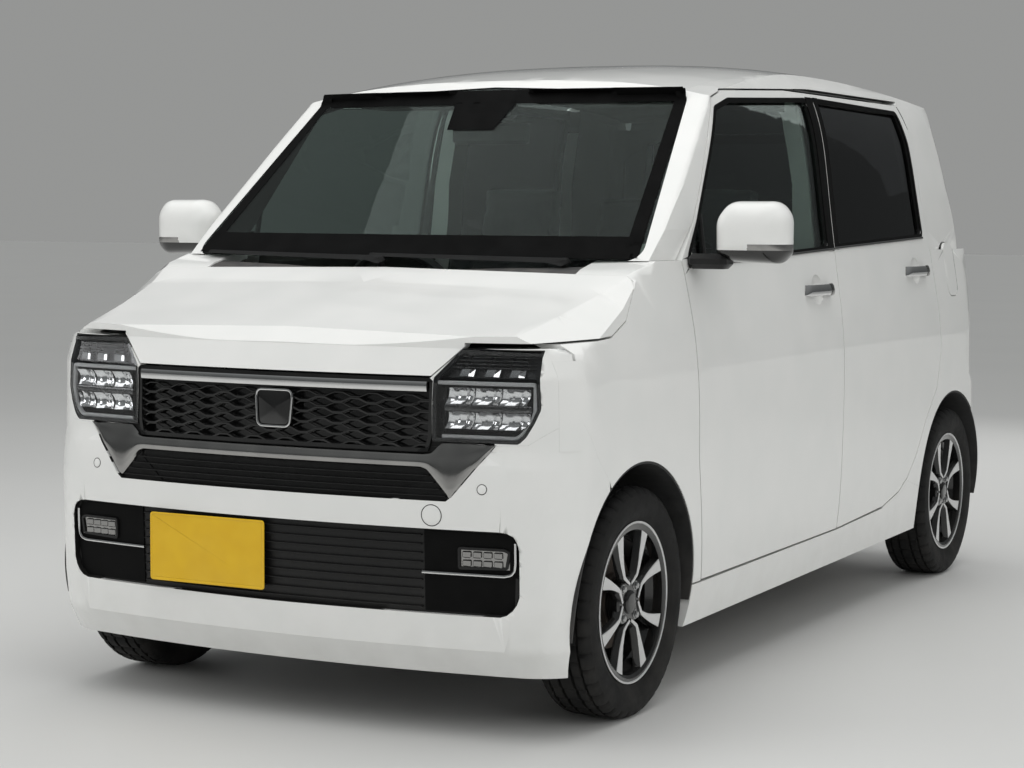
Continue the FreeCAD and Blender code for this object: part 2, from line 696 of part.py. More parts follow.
def make_roof():
    """The roof panel with its aerial fin."""
    outline = [(ROOF_SEAM_X, SCREEN_OUTLINE[1][1] + 6), (ROOF_SEAM_X, 1750), (-ROOF_SEAM_X, 1750),
               (-ROOF_SEAM_X, SCREEN_OUTLINE[1][1] + 6), (0, SCREEN_TOP + 4)]
    roof = layer("upper", 0, ROOF_THICKNESS).common(front_prism(outline, NOSE, GATE_SEAM - SEAM))
    y = GATE_SEAM - FIN_FROM_GATE
    fin = side_prism([(y, 1600), (y + FIN_LENGTH, 1600), (y + FIN_LENGTH, 1676), (y + FIN_LENGTH - 40, 1676),
                      (y, 1650)], -FIN_WIDTH / 2, FIN_WIDTH / 2, 8)
    return roof.fuse(fin.cut(Form.get("upper", ROOF_THICKNESS - 10))).removeSplitter()


def door_cuts():
    """The spaces that the two left doors need in the body side."""
    cuts = []
    for outline in (front_door_points(), rear_door_points()):
        cuts.append(side_prism(grown(outline, SEAM / 2), 300, HALF + 100, 8))
    return cuts


def make_side_frame():
    """The left body side: screen pillar, roof rail, rear quarter, posts and sill."""
    roof_zone = front_prism([(-10, SCREEN_OUTLINE[1][1] - 20), (ROOF_SEAM_X + SEAT_GAP, SCREEN_OUTLINE[1][1] - 20),
                             (ROOF_SEAM_X + SEAT_GAP, 1760), (-10, 1760)], NOSE, GATE_SEAM + 200)
    screen_zone = front_prism(screen_points(), NOSE - 60, 0, 30)
    upper = layer("upper", 0, WALL).common(box(300, HALF, NOSE, TAIL, PILLAR_SEAM + SEAT_GAP / 2, 1760))
    low_side = side_prism([(REAR_AXLE - 700, 300), (REAR_AXLE - 700, PILLAR_SEAM + SEAT_GAP / 2),
                           (TAIL, PILLAR_SEAM + SEAT_GAP / 2), (TAIL, 300)], 300, HALF + 20)
    lower = layer("lower", 0, WALL).common(low_side)
    frame = upper.fuse(lower)
    frame = frame.cut(roof_zone).cut(screen_zone)
    frame = frame.cut(front_prism(gate_points(SEAM), GATE_SEAM - SEAM, TAIL + 60, 12))
    frame = frame.cut(side_prism(rear_bumper_points(SEAT_GAP), 300, HALF + 60))
    frame = frame.cut(arch_cut(REAR_AXLE, ARCH_RADIUS, 300, HALF + 60))
    for cut in door_cuts():
        frame = frame.cut(cut)
    frame = frame.cut(front_prism(tail_lamp_points(SEAT_GAP), REAR_AXLE + 100, TAIL + 60, 12))
    frame = frame.cut(side_prism(fuel_lid_points(SEAM / 2), HALF - 70 - LID_POCKET, HALF + 60, 40))
    frame = frame.cut(side_prism(skirt_points(SEAT_GAP), HALF - DOOR_THICKNESS, HALF + 60))
    inner = DOOR_THICKNESS + 6
    ring = layer("section", inner, inner + POST_DEPTH)
    y0 = FRONT_AXLE + POST_FRONT
    sill = box(300, HALF, y0, REAR_AXLE - 345, SILL_BOTTOM, SILL_TOP)
    a_post = box(300, HALF, y0, y0 + 70, SILL_BOTTOM, 1130)
    b_post = box(300, HALF, B_POST - B_POST_WIDTH / 2, B_POST + B_POST_WIDTH / 2, SILL_BOTTOM, 1130)
    house = arch_cut(REAR_AXLE, ARCH_RADIUS + 45, 300, HALF).cut(arch_cut(REAR_AXLE, ARCH_RADIUS, 290, HALF + 10))
    house = house.cut(box(290, HALF + 10, REAR_AXLE - 500, REAR_AXLE + 500, -300, SILL_BOTTOM))
    posts = ring.common(sill.fuse([a_post, b_post, house]))
    posts = posts.cut(arch_cut(FRONT_AXLE, ARCH_RADIUS, 290, HALF))
    posts = posts.cut(side_prism(rear_bumper_points(SEAT_GAP), 290, HALF))
    corner = layer("section", WALL - 10, inner + 10).common(
        box(300, HALF, y0, y0 + 70, PILLAR_SEAM + SEAT_GAP / 2, 1130))
    link = layer("section", WALL - 10, inner + 10).common(
        arch_cut(REAR_AXLE, ARCH_RADIUS + 45, 300, HALF).cut(arch_cut(REAR_AXLE, ARCH_RADIUS, 290, HALF + 10)).common(
            box(300, HALF, REAR_AXLE - 40, REAR_AXLE + 240, 400, 800)))
    b_top = layer("upper", SASH_THICKNESS + 6, SASH_THICKNESS + 56).common(
        box(300, HALF, B_POST - B_POST_WIDTH / 2, B_POST + B_POST_WIDTH / 2, 1105, 1680))
    extra = corner.fuse(link)
    for cut in door_cuts():
        extra = extra.cut(cut)
    frame = frame.fuse([posts, b_top, extra])
    return frame.cut(roof_zone).removeSplitter()


def tail_lamp_points(by=0.0):
    """Outline of the left tail lamp in the rear view."""
    x = GATE_HALF_FOOT + 14 + SEAM
    return [(x + 4 - by, 700 - by), (x + 74 + by, 700 - by), (x + 74 + by, 985 + by), (x + 4 - by, 985 + by)]


def make_tail_lamps():
    """The two tail lamps."""
    lamp = layer("lower", 0, WALL - 10).common(front_prism(tail_lamp_points(), REAR_AXLE + 200, TAIL + 60, 12))
    return both(lamp)


def fuel_lid_points(by=0.0):
    """Outline of the fuel lid in the side view."""
    y, z = REAR_AXLE + LID_CENTRE[0], LID_CENTRE[1]
    a, b = LID_SIZE[0] / 2 + by, LID_SIZE[1] / 2 + by
    return [(y - a, z - b), (y + a, z - b), (y + a, z + b), (y - a, z + b)]


def make_fuel_lid():
    """The fuel lid in the left rear quarter."""
    lid = layer("section", 0, LID_THICKNESS).common(side_prism(fuel_lid_points(), 500, HALF + 60, 40))
    y = REAR_AXLE + LID_CENTRE[0] - LID_SIZE[0] / 2 - SEAM / 2 + SEAT_GAP
    arm = layer("section", LID_THICKNESS / 2, LID_THICKNESS * 2).common(
        box(500, HALF, y, y + 16, LID_CENTRE[1] - 20, LID_CENTRE[1] + 20))
    return lid.fuse(arm).removeSplitter()


def turned(profile, x_axis_point, direction=1):
    """A flat (x, radius) outline turned about the wheel axis through a point; direction mirrors x."""
    centre_y, centre_z, x0 = x_axis_point
    points = [V(x0 + direction * x, centre_y, centre_z + r) for x, r in profile]
    face = Part.Face(Part.makePolygon(points + [points[0]]))
    return face.revolve(V(0, centre_y, centre_z), V(1, 0, 0), 360)


def make_tyre(axle):
    """One left-hand tyre: flat tread, sloped shoulders and bulged walls."""
    w = TYRE_WIDTH / 2
    b = RIM_WIDTH / 2 - 6
    profile = [
        (-w + 12, TYRE_RADIUS), (w - 12, TYRE_RADIUS), (w, TYRE_RADIUS - 26),
        (b + 1 - SEAT_GAP, RIM_LIP_RADIUS + 1), (b - 1 - SEAT_GAP, BEAD_RADIUS + 1),
        (-b + 1 + SEAT_GAP, BEAD_RADIUS + 1), (-b - 1 + SEAT_GAP, RIM_LIP_RADIUS + 1),
        (-w, TYRE_RADIUS - 26),
    ]
    return turned(profile, (axle, TYRE_RADIUS, WHEEL_X))


def make_rim(axle):
    """One left-hand wheel rim: barrel with both lips, spoke disc and hub."""
    h = RIM_WIDTH / 2
    lip, bead, drop = RIM_LIP_RADIUS, BEAD_RADIUS, BEAD_RADIUS - 16
    wall_in = drop - 6
    barrel = turned([
        (h, lip), (h - 5, lip), (h - 7, bead + 0.7), (h - 30, bead), (h - 46, drop), (-h + 24, drop),
        (-h + 7, bead + 0.7), (-h + 5, lip), (-h, lip), (-h + 2, bead - 5), (-h + 22, wall_in),
        (h - 44, wall_in), (h - 28, bead - 7), (h - 2, bead - 5),
    ], (axle, TYRE_RADIUS, WHEEL_X))
    face = rod(V(WHEEL_X + HUB_FACE, axle, TYRE_RADIUS), V(WHEEL_X + HUB_FACE + SPOKE_DEPTH, axle, TYRE_RADIUS),
               bead - 3)
    holes = []
    for index in range(SPOKE_PAIRS * 2):
        angle = math.radians(360 / (SPOKE_PAIRS * 2) * (index + 0.5))
        cut = plan_spoke_gap(index)
        cut.rotate(V(0, 0, 0), V(1, 0, 0), math.degrees(angle))
        cut.translate(V(WHEEL_X, axle, TYRE_RADIUS))
        holes.append(cut)
    rim = barrel.fuse(face.cut(Part.makeCompound(holes)))
    x_hub = WHEEL_X + HUB_FACE
    hub = rod(V(x_hub - 24, axle, TYRE_RADIUS), V(x_hub + 1, axle, TYRE_RADIUS), HUB_RADIUS)
    bore = rod(V(x_hub - 30, axle, TYRE_RADIUS), V(x_hub + 8, axle, TYRE_RADIUS), SPINDLE_RADIUS + SPINDLE_CLEARANCE)
    rim = rim.fuse(hub).cut(bore)
    for index in range(LUG_COUNT):
        angle = 2 * math.pi * (index + 0.5) / LUG_COUNT
        y = axle + LUG_CIRCLE / 2 * math.cos(angle)
        z = TYRE_RADIUS + LUG_CIRCLE / 2 * math.sin(angle)
        rim = rim.cut(rod(V(x_hub - 60, y, z), V(x_hub + 60, y, z), LUG_HOLE_RADIUS))
    return rim.removeSplitter()


def plan_spoke_gap(index):
    """The gap between two spokes, drawn with its middle straight up from the wheel's centre."""
    narrow = 9 if index % 2 else 16
    wide = 42 if index % 2 else 50
    loop = rounded_loop([(-narrow, 86), (narrow, 86), (wide, 168), (-wide, 168)],
                        lambda p: V(HUB_FACE - 20, p.x, p.y), 12)
    return Part.Face(loop).extrude(V(70, 0, 0))


def make_disc(axle):
    """The brake disc and its hat, on the wheel's hub."""
    x = HUB_FACE - 24 - SEAT_GAP
    return turned([(x, SPINDLE_RADIUS + SPINDLE_CLEARANCE), (x, HUB_RADIUS + 5), (x - 14, HUB_RADIUS + 5),
                   (x - 14, DISC_RADIUS), (x - 34, DISC_RADIUS), (x - 34, HUB_RADIUS - 5), (x - 8, HUB_RADIUS - 5),
                   (x - 8, SPINDLE_RADIUS + SPINDLE_CLEARANCE)], (axle, TYRE_RADIUS, WHEEL_X))


def kingpin_x(z):
    """Where the leaning steering axis stands at a height."""
    share = (z - BALL_JOINT[1]) / (STRUT_TOP[1] - BALL_JOINT[1])
    return BALL_JOINT[0] + share * (STRUT_TOP[0] - BALL_JOINT[0])


def kingpin(z):
    """A point of the left steering axis."""
    return V(kingpin_x(z), FRONT_AXLE, z)


def make_knuckle():
    """The left steering knuckle: spindle, upright, strut clamp, steering arm and brake caliper."""
    x_hub = WHEEL_X + HUB_FACE
    spindle = rod(V(x_hub - 85, FRONT_AXLE, TYRE_RADIUS), V(x_hub - 2, FRONT_AXLE, TYRE_RADIUS), SPINDLE_RADIUS)
    housing = rod(V(x_hub - 112, FRONT_AXLE, TYRE_RADIUS), V(x_hub - 84, FRONT_AXLE, TYRE_RADIUS), 38)
    upright = []
    for z0, z1, radius in ((BALL_JOINT[1] + 22, TYRE_RADIUS, 17), (TYRE_RADIUS, CLAMP_BOTTOM + 8, 17)):
        upright.append(rod(kingpin(z0), kingpin(z1), radius))
    clamp = rod(kingpin(CLAMP_BOTTOM), kingpin(CLAMP_TOP), STRUT_RADIUS + 9)
    clamp = clamp.cut(rod(kingpin(CLAMP_BOTTOM + 12), kingpin(CLAMP_TOP + 10), STRUT_RADIUS + SPINDLE_CLEARANCE))
    arm = rod(V(kingpin_x(230), FRONT_AXLE, 230), V(kingpin_x(230) - 10, FRONT_AXLE + 105, 230), 11)
    x_disc = WHEEL_X + HUB_FACE - 24 - SEAT_GAP - 24
    caliper = box(x_disc - 34, x_disc + 26, FRONT_AXLE + 78, FRONT_AXLE + 138, TYRE_RADIUS - 42, TYRE_RADIUS + 52)
    slot = box(x_disc - 15, x_disc + 15, FRONT_AXLE + 60, FRONT_AXLE + DISC_RADIUS + 5, TYRE_RADIUS - 60, TYRE_RADIUS + 70)
    bracket = box(x_disc - 50, x_disc - 20, FRONT_AXLE, FRONT_AXLE + 90, TYRE_RADIUS - 16, TYRE_RADIUS + 16)
    return spindle.fuse([housing, *upright, clamp, arm, caliper.cut(slot), bracket]).removeSplitter()


def make_front_suspension():
    """Struts with their towers, lower arms and the crossmember."""
    strut = rod(kingpin(CLAMP_BOTTOM + 12 + SEAT_GAP), kingpin(STRUT_TOP[1]), STRUT_RADIUS)
    coil = rod(kingpin(590), kingpin(720), 62)
    seat = rod(kingpin(578), kingpin(590), 68)
    tower = box(STRUT_TOP[0] - 80, STRUT_TOP[0] + 80, FRONT_AXLE - 80, FRONT_AXLE + 80, STRUT_TOP[1] - 4, STRUT_TOP[1] + 10)
    joint = rod(kingpin(BALL_JOINT[1] - 14), kingpin(BALL_JOINT[1] + 21.7), 14)
    arm = plan_prism([(BALL_JOINT[0] + 12, FRONT_AXLE + 22), (BALL_JOINT[0] + 12, FRONT_AXLE - 22),
                      (RAIL_OUT - 5, FRONT_AXLE - 40), (RAIL_OUT - 5, FRONT_AXLE + 150),
                      (RAIL_OUT + 70, FRONT_AXLE + 130)],
                     BALL_JOINT[1] - 14, BALL_JOINT[1] + 8, 12)
    rail = box(RAIL_IN, RAIL_OUT, NOSE + 90, FRONT_AXLE + POST_FRONT - SEAT_GAP, 400, 480)
    leg = box(RAIL_IN, RAIL_OUT, FRONT_AXLE - 60, FRONT_AXLE + 160, BALL_JOINT[1] - 14, 410)
    brace = box(RAIL_IN, STRUT_TOP[0] - 70, FRONT_AXLE - 60, FRONT_AXLE + 60, STRUT_TOP[1] - 80, STRUT_TOP[1] + 10)
    post = box(RAIL_IN, RAIL_OUT, FRONT_AXLE - 60, FRONT_AXLE + 60, 470, STRUT_TOP[1] - 60)
    side = strut.fuse([coil, seat, tower, joint, arm, rail, leg, post, brace])
    cross = box(-RAIL_OUT, RAIL_OUT, FRONT_AXLE - 60, FRONT_AXLE + 160, CROSS_BOTTOM, CROSS_TOP)
    beam = box(-RAIL_OUT, RAIL_OUT, NOSE + 70, NOSE + 95, 395, 485)
    return side.fuse([mirror(side), cross, beam]).removeSplitter()


def make_rear_axle():
    """The twist beam with its arms, backing plates, spindles and springs."""
    y_pivot = REAR_AXLE - ARM_LENGTH
    arm = side_prism([(y_pivot - 30, 290), (y_pivot, 250), (REAR_AXLE + 30, 250), (REAR_AXLE + 30, 307),
                      (y_pivot, 330), (y_pivot - 30, 330)], 488, 540, 20)
    plate = rod(V(540, REAR_AXLE, TYRE_RADIUS), V(556, REAR_AXLE, TYRE_RADIUS), 105)
    x_hub = WHEEL_X + HUB_FACE
    spindle = rod(V(550, REAR_AXLE, TYRE_RADIUS), V(x_hub - 2, REAR_AXLE, TYRE_RADIUS), SPINDLE_RADIUS)
    spring = rod(V(440, REAR_AXLE - 40, 262), V(440, REAR_AXLE - 40, REAR_FLOOR - SEAT_GAP), 50)
    cup = box(400, 500, REAR_AXLE - 90, REAR_AXLE + 10, 250, 264)
    bush = box(488, 540, y_pivot - 30, y_pivot + 20, 320, REAR_FLOOR - SEAT_GAP)
    side = arm.fuse([plate, spindle, spring, cup])
    beam = rod(V(-500, REAR_AXLE - 170, 285), V(500, REAR_AXLE - 170, 285), 34)
    return side.fuse([mirror(side), beam]).removeSplitter(), bush


def make_liners():
    """The four arch liners, thin half rings under the fenders and quarters."""
    parts = []
    for axle, x_in in ((FRONT_AXLE, LINER_IN + 15), (REAR_AXLE, LINER_IN)):
        outer = arch_cut(axle, ARCH_RADIUS - SEAT_GAP, x_in, HALF)
        ring = outer.cut(arch_cut(axle, ARCH_RADIUS - 6, x_in - 1, HALF + 1))
        ring = ring.common(Form.get("section", 2)).cut(box(0, HALF + 10, axle - 500, axle + 500, 0, 235))
        parts += [ring, mirror(ring)]
    return Part.makeCompound(parts)


def make_floor():
    """The floor pan: toe board, front floor, kick-up and load floor."""
    t = FLOOR_THICKNESS
    y0 = FRONT_AXLE + POST_FRONT
    inner = Form.get("section", DOOR_THICKNESS + 6 + POST_DEPTH + SEAT_GAP)
    front = box(-HALF, HALF, y0, KICK_UP, FLOOR, FLOOR + t).common(inner)
    kick = box(-LINER_IN, LINER_IN, KICK_UP - t, KICK_UP, FLOOR, REAR_FLOOR + t)
    rear = box(-LINER_IN + SEAT_GAP, LINER_IN - SEAT_GAP, KICK_UP - t, TAIL - 130, REAR_FLOOR, REAR_FLOOR + t)
    for shape in (arch_cut(FRONT_AXLE, ARCH_RADIUS, 300, HALF),):
        front = front.cut(shape).cut(mirror(shape))
    return front.fuse([kick, rear]).removeSplitter()


def make_bulkhead():
    """The bulkhead and the cowl under the windscreen's foot."""
    y0 = FRONT_AXLE + POST_FRONT
    y1 = BONNET_REAR + SEAM
    half = DASH_HALF + 10
    plate = box(-half, half, y0, y0 + 20, FLOOR + FLOOR_THICKNESS + SEAT_GAP, COWL_TOP)
    tray = box(-half, half, y1, y0 + 10, COWL_TOP - 20, COWL_TOP)
    reach = FENDER_IN - SEAT_GAP
    lip = layer("lower", COWL_DEPTH, 60).common(box(-reach, reach, y1, FRONT_AXLE + 160, COWL_TOP - 15, COWL_TOP + 80))
    lip = lip.cut(Form.get("upper", -SEAT_GAP))
    return plate.fuse([tray, lip]).removeSplitter()


def make_dashboard():
    """The dashboard with the driver's binnacle and the column stub."""
    y0 = FRONT_AXLE + POST_FRONT + 20 + SEAT_GAP
    profile = [(y0, 700), (y0 + 190, 640), (y0 + 250, 760), (y0 + 270, 900), (y0 + 215, 985), (y0, 1035)]
    dash = side_prism(profile, -DASH_HALF, DASH_HALF, 30)
    centre = column_point(0)
    shaft = rod(column_point(-250), column_point(-12), 17)
    hood = rod(column_point(-250), column_point(-60), 38)
    return dash.fuse([hood, shaft]).removeSplitter()


def column_point(distance):
    """A point along the steering column, measured from the wheel's plane towards the driver."""
    lean = math.radians(COLUMN_LEAN)
    return V(-DRIVER_X, WHEEL_HUB[0] + distance * math.cos(lean), WHEEL_HUB[1] + distance * math.sin(lean))


def make_steering_wheel():
    """The steering wheel: an eight-sided rim, a hub and three flat spokes, drawn upright and then leant back."""
    section = [V(STEERING_RADIUS + 14 * math.cos(math.radians(45 * k + 22.5)),
                 14 * math.sin(math.radians(45 * k + 22.5)), 0) for k in range(8)]
    rim = Part.Face(Part.makePolygon(section + [section[0]])).revolve(V(0, 0, 0), V(0, 1, 0), 360)
    hub = Part.makeCylinder(55, 36, V(0, -24, 0), V(0, 1, 0))
    spokes = [box(-STEERING_RADIUS + 4, STEERING_RADIUS - 4, -8, 8, -16, 16),
              box(-16, 16, -8, 8, -STEERING_RADIUS + 4, 0)]
    bore = Part.makeCylinder(17 + SPINDLE_CLEARANCE, 24, V(0, -29, 0), V(0, 1, 0))
    wheel = rim.fuse([hub, *spokes]).cut(bore).removeSplitter()
    wheel.rotate(V(0, 0, 0), V(1, 0, 0), COLUMN_LEAN)
    wheel.translate(column_point(0))
    return wheel


def seat_solid(y_front, half, x_mid, base):
    """A seat: base, cushion, leaning back and headrest."""
    h = SEAT_HEIGHT
    cushion = side_prism([(y_front, base), (y_front, h - 10), (y_front + 60, h + 30), (y_front + 470, h),
                          (y_front + 560, base)], x_mid - half, x_mid + half, 25)
    back = side_prism([(y_front + 430, h - 60), (y_front + 560, h - 60), (y_front + 720, h + 560),
                       (y_front + 620, h + 580)], x_mid - half, x_mid + half, 35)
    return cushion.fuse(back)


def headrest(y_front, x_mid):
    """A headrest on its post."""
    h = SEAT_HEIGHT
    pad = side_prism([(y_front + 622, h + 610), (y_front + 712, h + 600), (y_front + 740, h + 760),
                      (y_front + 660, h + 770)], x_mid - 125, x_mid + 125, 25)
    post = rod(V(x_mid, y_front + 670, h + 540), V(x_mid, y_front + 680, h + 640), 12)
    return pad.fuse(post)


def make_front_seats():
    """The two front seats."""
    base = FLOOR + FLOOR_THICKNESS + SEAT_GAP
    seat = seat_solid(SEAT_FRONT, SEAT_HALF, DRIVER_X, base + 120)
    foot = box(DRIVER_X - 190, DRIVER_X + 190, SEAT_FRONT + 80, SEAT_FRONT + 500, base, base + 130)
    return both(seat.fuse([foot, headrest(SEAT_FRONT, DRIVER_X)]).removeSplitter())


def make_rear_seat():
    """The rear bench with two headrests."""
    base = FLOOR + FLOOR_THICKNESS + SEAT_GAP
    y = KICK_UP - FLOOR_THICKNESS - SEAT_GAP - 560
    h = SEAT_HEIGHT
    bench = side_prism([(y, base), (y, h - 10), (y + 60, h + 30), (y + 470, h), (y + 559, h - 60), (y + 559, base)],
                       -REAR_SEAT_HALF, REAR_SEAT_HALF, 25)
    back = side_prism([(y + 430, h - 60), (y + 540, h - 60), (y + 690, h + 540), (y + 600, h + 560)],
                      -REAR_SEAT_HALF, REAR_SEAT_HALF, 35)
    rests = []
    for x in (-DRIVER_X, DRIVER_X):
        rests.append(headrest(y - 22, x).translated(V(0, 0, -25)))
    return bench.fuse([back, *rests]).removeSplitter()


def make_engine():
    """The engine and gearbox as one plain block."""
    return box(-ENGINE_HALF, ENGINE_HALF, FRONT_AXLE - 300, FRONT_AXLE + 150, CROSS_TOP + SEAT_GAP, CROSS_TOP + 480)


def make_tank():
    """The fuel tank under the floor."""
    return box(-320, 320, 420, 900, TANK_BOTTOM, FLOOR - SEAT_GAP)


def make_exhaust():
    """The exhaust pipe and its rear silencer."""
    x, z = 360, 196
    pipe = rod(V(x, FRONT_AXLE + 330, z), V(x, TAIL - 290, z), 20)
    silencer = box(140, 460, TAIL - 300, TAIL - 150, z - 20, 320)
    hanger = rod(V(x - 60, TAIL - 225, 310), V(x - 60, TAIL - 225, REAR_FLOOR - SEAT_GAP), 8)
    front_hanger = rod(V(x, 0, z), V(x, 0, FLOOR - SEAT_GAP), 8)
    return pipe.fuse([silencer, hanger, front_hanger]).removeSplitter()


def skirt_points(by=0.0):
    """Side-view outline of a sill cover, with its upper edge raised by a distance."""
    return behind_axle([(388, 272 + by), (300, 272 + by), (310, SKIRT_BOTTOM), (2222, SKIRT_BOTTOM + 25),
                        (2300, 300), (2180 + by, 330 + by), (2060, 360 + by), (1976, 328 + by),
                        (1820, 298 + by), (DOOR_SPLIT[0][0], DOOR_SPLIT[0][1] - SEAM / 2 + by)])


def make_skirts():
    """The sill covers under the doors."""
    skirt = layer("section", 0, SKIN).common(side_prism(skirt_points(), 300, HALF + 60))
    for axle in (FRONT_AXLE, REAR_AXLE):
        skirt = skirt.cut(arch_cut(axle, ARCH_RADIUS, 300, HALF + 60))
    return both(skirt)


def make_mirror():
    """The left door mirror on its foot."""
    y, z = FRONT_AXLE + MIRROR_BACK, MIRROR_HEIGHT
    shell = plan_prism([(MIRROR_IN, y - 20), (MIRROR_IN + 60, y - 58), (MIRROR_OUT - 40, y - 48), (MIRROR_OUT, y + 5),
                        (MIRROR_OUT - 4, y + 32), (MIRROR_IN, y + 32)], z - 75, z + 75, 22)
    section = front_prism([(MIRROR_IN, z - 62), (MIRROR_IN, z + 58), (MIRROR_OUT - 20, z + 75), (MIRROR_OUT, z + 50),
                           (MIRROR_OUT - 12, z - 62), (MIRROR_OUT - 60, z - 75)], y - 80, y + 60, 24)
    shell = shell.common(section)
    arm = plan_prism([(MIRROR_IN - 110, y - 22), (MIRROR_IN + 50, y - 30), (MIRROR_IN + 50, y + 18),
                      (MIRROR_IN - 110, y + 18)], z - 96, z - 60, 8)
    foot = arm.cut(Form.get("section", -SEAT_GAP))
    return shell.fuse(foot).removeSplitter()


def make_wipers():
    """The two windscreen wipers, parked just above the cowl and following the glass."""
    body = Form.get("upper", 0)
    sheet = body.translated(V(0, -WIPER_OFF - WIPER_DEPTH, 0)).cut(body.translated(V(0, -WIPER_OFF, 0)))
    parts = []
    for tip, pivot in ((-600, -20), (-60, 480)):
        blade = [(tip, 1096), (pivot - 40, 1086), (pivot, 1078), (pivot + 16, 1086), (pivot, 1098),
                 (pivot - 40, 1098), (tip, 1104)]
        arm = sheet.common(front_prism(blade, NOSE, 0))
        bow = SCREEN_BOW_RADIUS - math.sqrt(SCREEN_BOW_RADIUS ** 2 - pivot ** 2)
        y = NOSE + at_height(SCREEN_FORM, 1088) + bow - WIPER_OFF - WIPER_DEPTH / 2
        foot = rod(V(pivot, y, COWL_TOP), V(pivot, y, 1094), 9)
        wiper = arm.fuse(foot).cut(Form.get("lower", COWL_DEPTH - 2 * SEAT_GAP)).removeSplitter()
        parts.append(max(wiper.Solids, key=lambda solid: solid.Volume))
    return Part.makeCompound(parts)


def make_all():
    """Every piece by name."""
    pieces = {}
    pieces["side_frame_left"] = make_side_frame()
    pieces["floor_pan"] = make_floor()
    pieces["bulkhead"] = make_bulkhead()
    pieces["roof_panel"] = make_roof()
    pieces["front_fenders"] = both(make_fender())
    pieces["front_bumper"] = make_front_bumper()
    pieces["rear_bumper"] = make_rear_bumper()
    pieces["windscreen"] = make_windscreen()
    pieces["upper_grille"] = make_upper_grille()
    pieces["lower_grille"] = make_lower_grille()
    pieces["headlights"] = make_headlights()
    pieces["tail_lamps"] = make_tail_lamps()
    pieces["dashboard"] = make_dashboard()
    pieces["front_seats"] = make_front_seats()
    pieces["rear_seat"] = make_rear_seat()
    pieces["engine_block"] = make_engine()
    pieces["fuel_tank"] = make_tank()
    pieces["exhaust"] = make_exhaust()
    axle, bush = make_rear_axle()
    pieces["rear_axle"] = axle.fuse([bush, mirror(bush)]).removeSplitter()
    pieces["front_suspension"] = make_front_suspension()
    pieces["sill_covers"] = make_skirts()
    pieces["arch_liners"] = make_liners()
    pieces["wipers"] = make_wipers()
    pieces["bonnet"] = make_bonnet()
    door, pane = make_door(front_door_points(), FRONT_WINDOW, (1079, 1120))
    pieces["front_door_left"], pieces["front_door_left_glass"] = door, pane
    door, pane = make_door(rear_door_points(), REAR_WINDOW, (1079, 1140))
    pieces["rear_door_left"], pieces["rear_door_left_glass"] = door, pane
    pieces["mirror_left"] = make_mirror()
    pieces["tailgate"], pieces["tailgate_glass"] = make_tailgate()
    pieces["fuel_lid"] = make_fuel_lid()
    pieces["steering_wheel"] = make_steering_wheel()
    pieces["knuckle_left"] = make_knuckle()
    pieces["brake_disc_left"] = make_disc(FRONT_AXLE)
    for end, axle_y in (("front", FRONT_AXLE), ("rear", REAR_AXLE)):
        pieces["tyre_%s_left" % end] = make_tyre(axle_y)
        pieces["rim_%s_left" % end] = make_rim(axle_y)
    for name in [n for n in pieces if "_left" in n]:
        pieces[name.replace("_left", "_right")] = mirror(pieces[name])
    return pieces


os.makedirs("parts", exist_ok=True)
for piece_name, piece in make_all().items():
    export(piece_name, piece)
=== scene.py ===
"""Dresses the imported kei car: paint, glass, lamps, grilles, wheels and cabin, in a pale studio.

All sizes are millimetres in the car's own frame (front towards -Y, left side +X, up +Z); the mesh
helpers turn them into metres.
"""
import json
import logging
import math
from abc import ABC, abstractmethod
from dataclasses import dataclass, field
from enum import Enum

import bmesh
import bpy
import numpy as np
from bpy.types import Material, Mesh, Node, NodeSocket, NodeTree, Object
from mathutils import Matrix, Vector
from mathutils.bvhtree import BVHTree

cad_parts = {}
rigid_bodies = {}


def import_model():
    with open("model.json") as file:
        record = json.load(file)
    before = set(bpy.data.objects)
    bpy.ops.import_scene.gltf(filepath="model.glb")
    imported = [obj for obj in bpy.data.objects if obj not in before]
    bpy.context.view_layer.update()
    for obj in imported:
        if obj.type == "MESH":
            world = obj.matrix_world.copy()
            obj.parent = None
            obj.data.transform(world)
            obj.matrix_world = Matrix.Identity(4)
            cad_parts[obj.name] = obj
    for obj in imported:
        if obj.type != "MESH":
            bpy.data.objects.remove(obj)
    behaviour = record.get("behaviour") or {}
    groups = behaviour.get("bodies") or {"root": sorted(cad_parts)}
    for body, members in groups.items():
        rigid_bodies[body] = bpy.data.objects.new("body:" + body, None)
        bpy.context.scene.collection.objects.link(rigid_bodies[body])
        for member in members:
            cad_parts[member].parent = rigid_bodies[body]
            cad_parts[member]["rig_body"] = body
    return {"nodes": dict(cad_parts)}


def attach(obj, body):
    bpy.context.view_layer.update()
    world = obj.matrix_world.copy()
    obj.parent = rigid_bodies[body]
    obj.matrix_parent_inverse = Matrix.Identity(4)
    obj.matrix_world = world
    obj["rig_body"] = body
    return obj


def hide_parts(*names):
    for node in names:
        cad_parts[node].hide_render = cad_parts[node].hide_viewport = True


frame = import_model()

LOG = logging.getLogger("kei_car")
MM = 0.001
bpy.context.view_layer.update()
NODES = frame["nodes"]
SIDES = (("left", 1.0), ("right", -1.0))


class Along(Enum):
    """Directions in which the body's skin is looked at."""

    LEFT = (-1.0, 0.0, 0.0)
    RIGHT = (1.0, 0.0, 0.0)
    FRONT = (0.0, 1.0, 0.0)
    REAR = (0.0, -1.0, 0.0)


# Mesh helpers


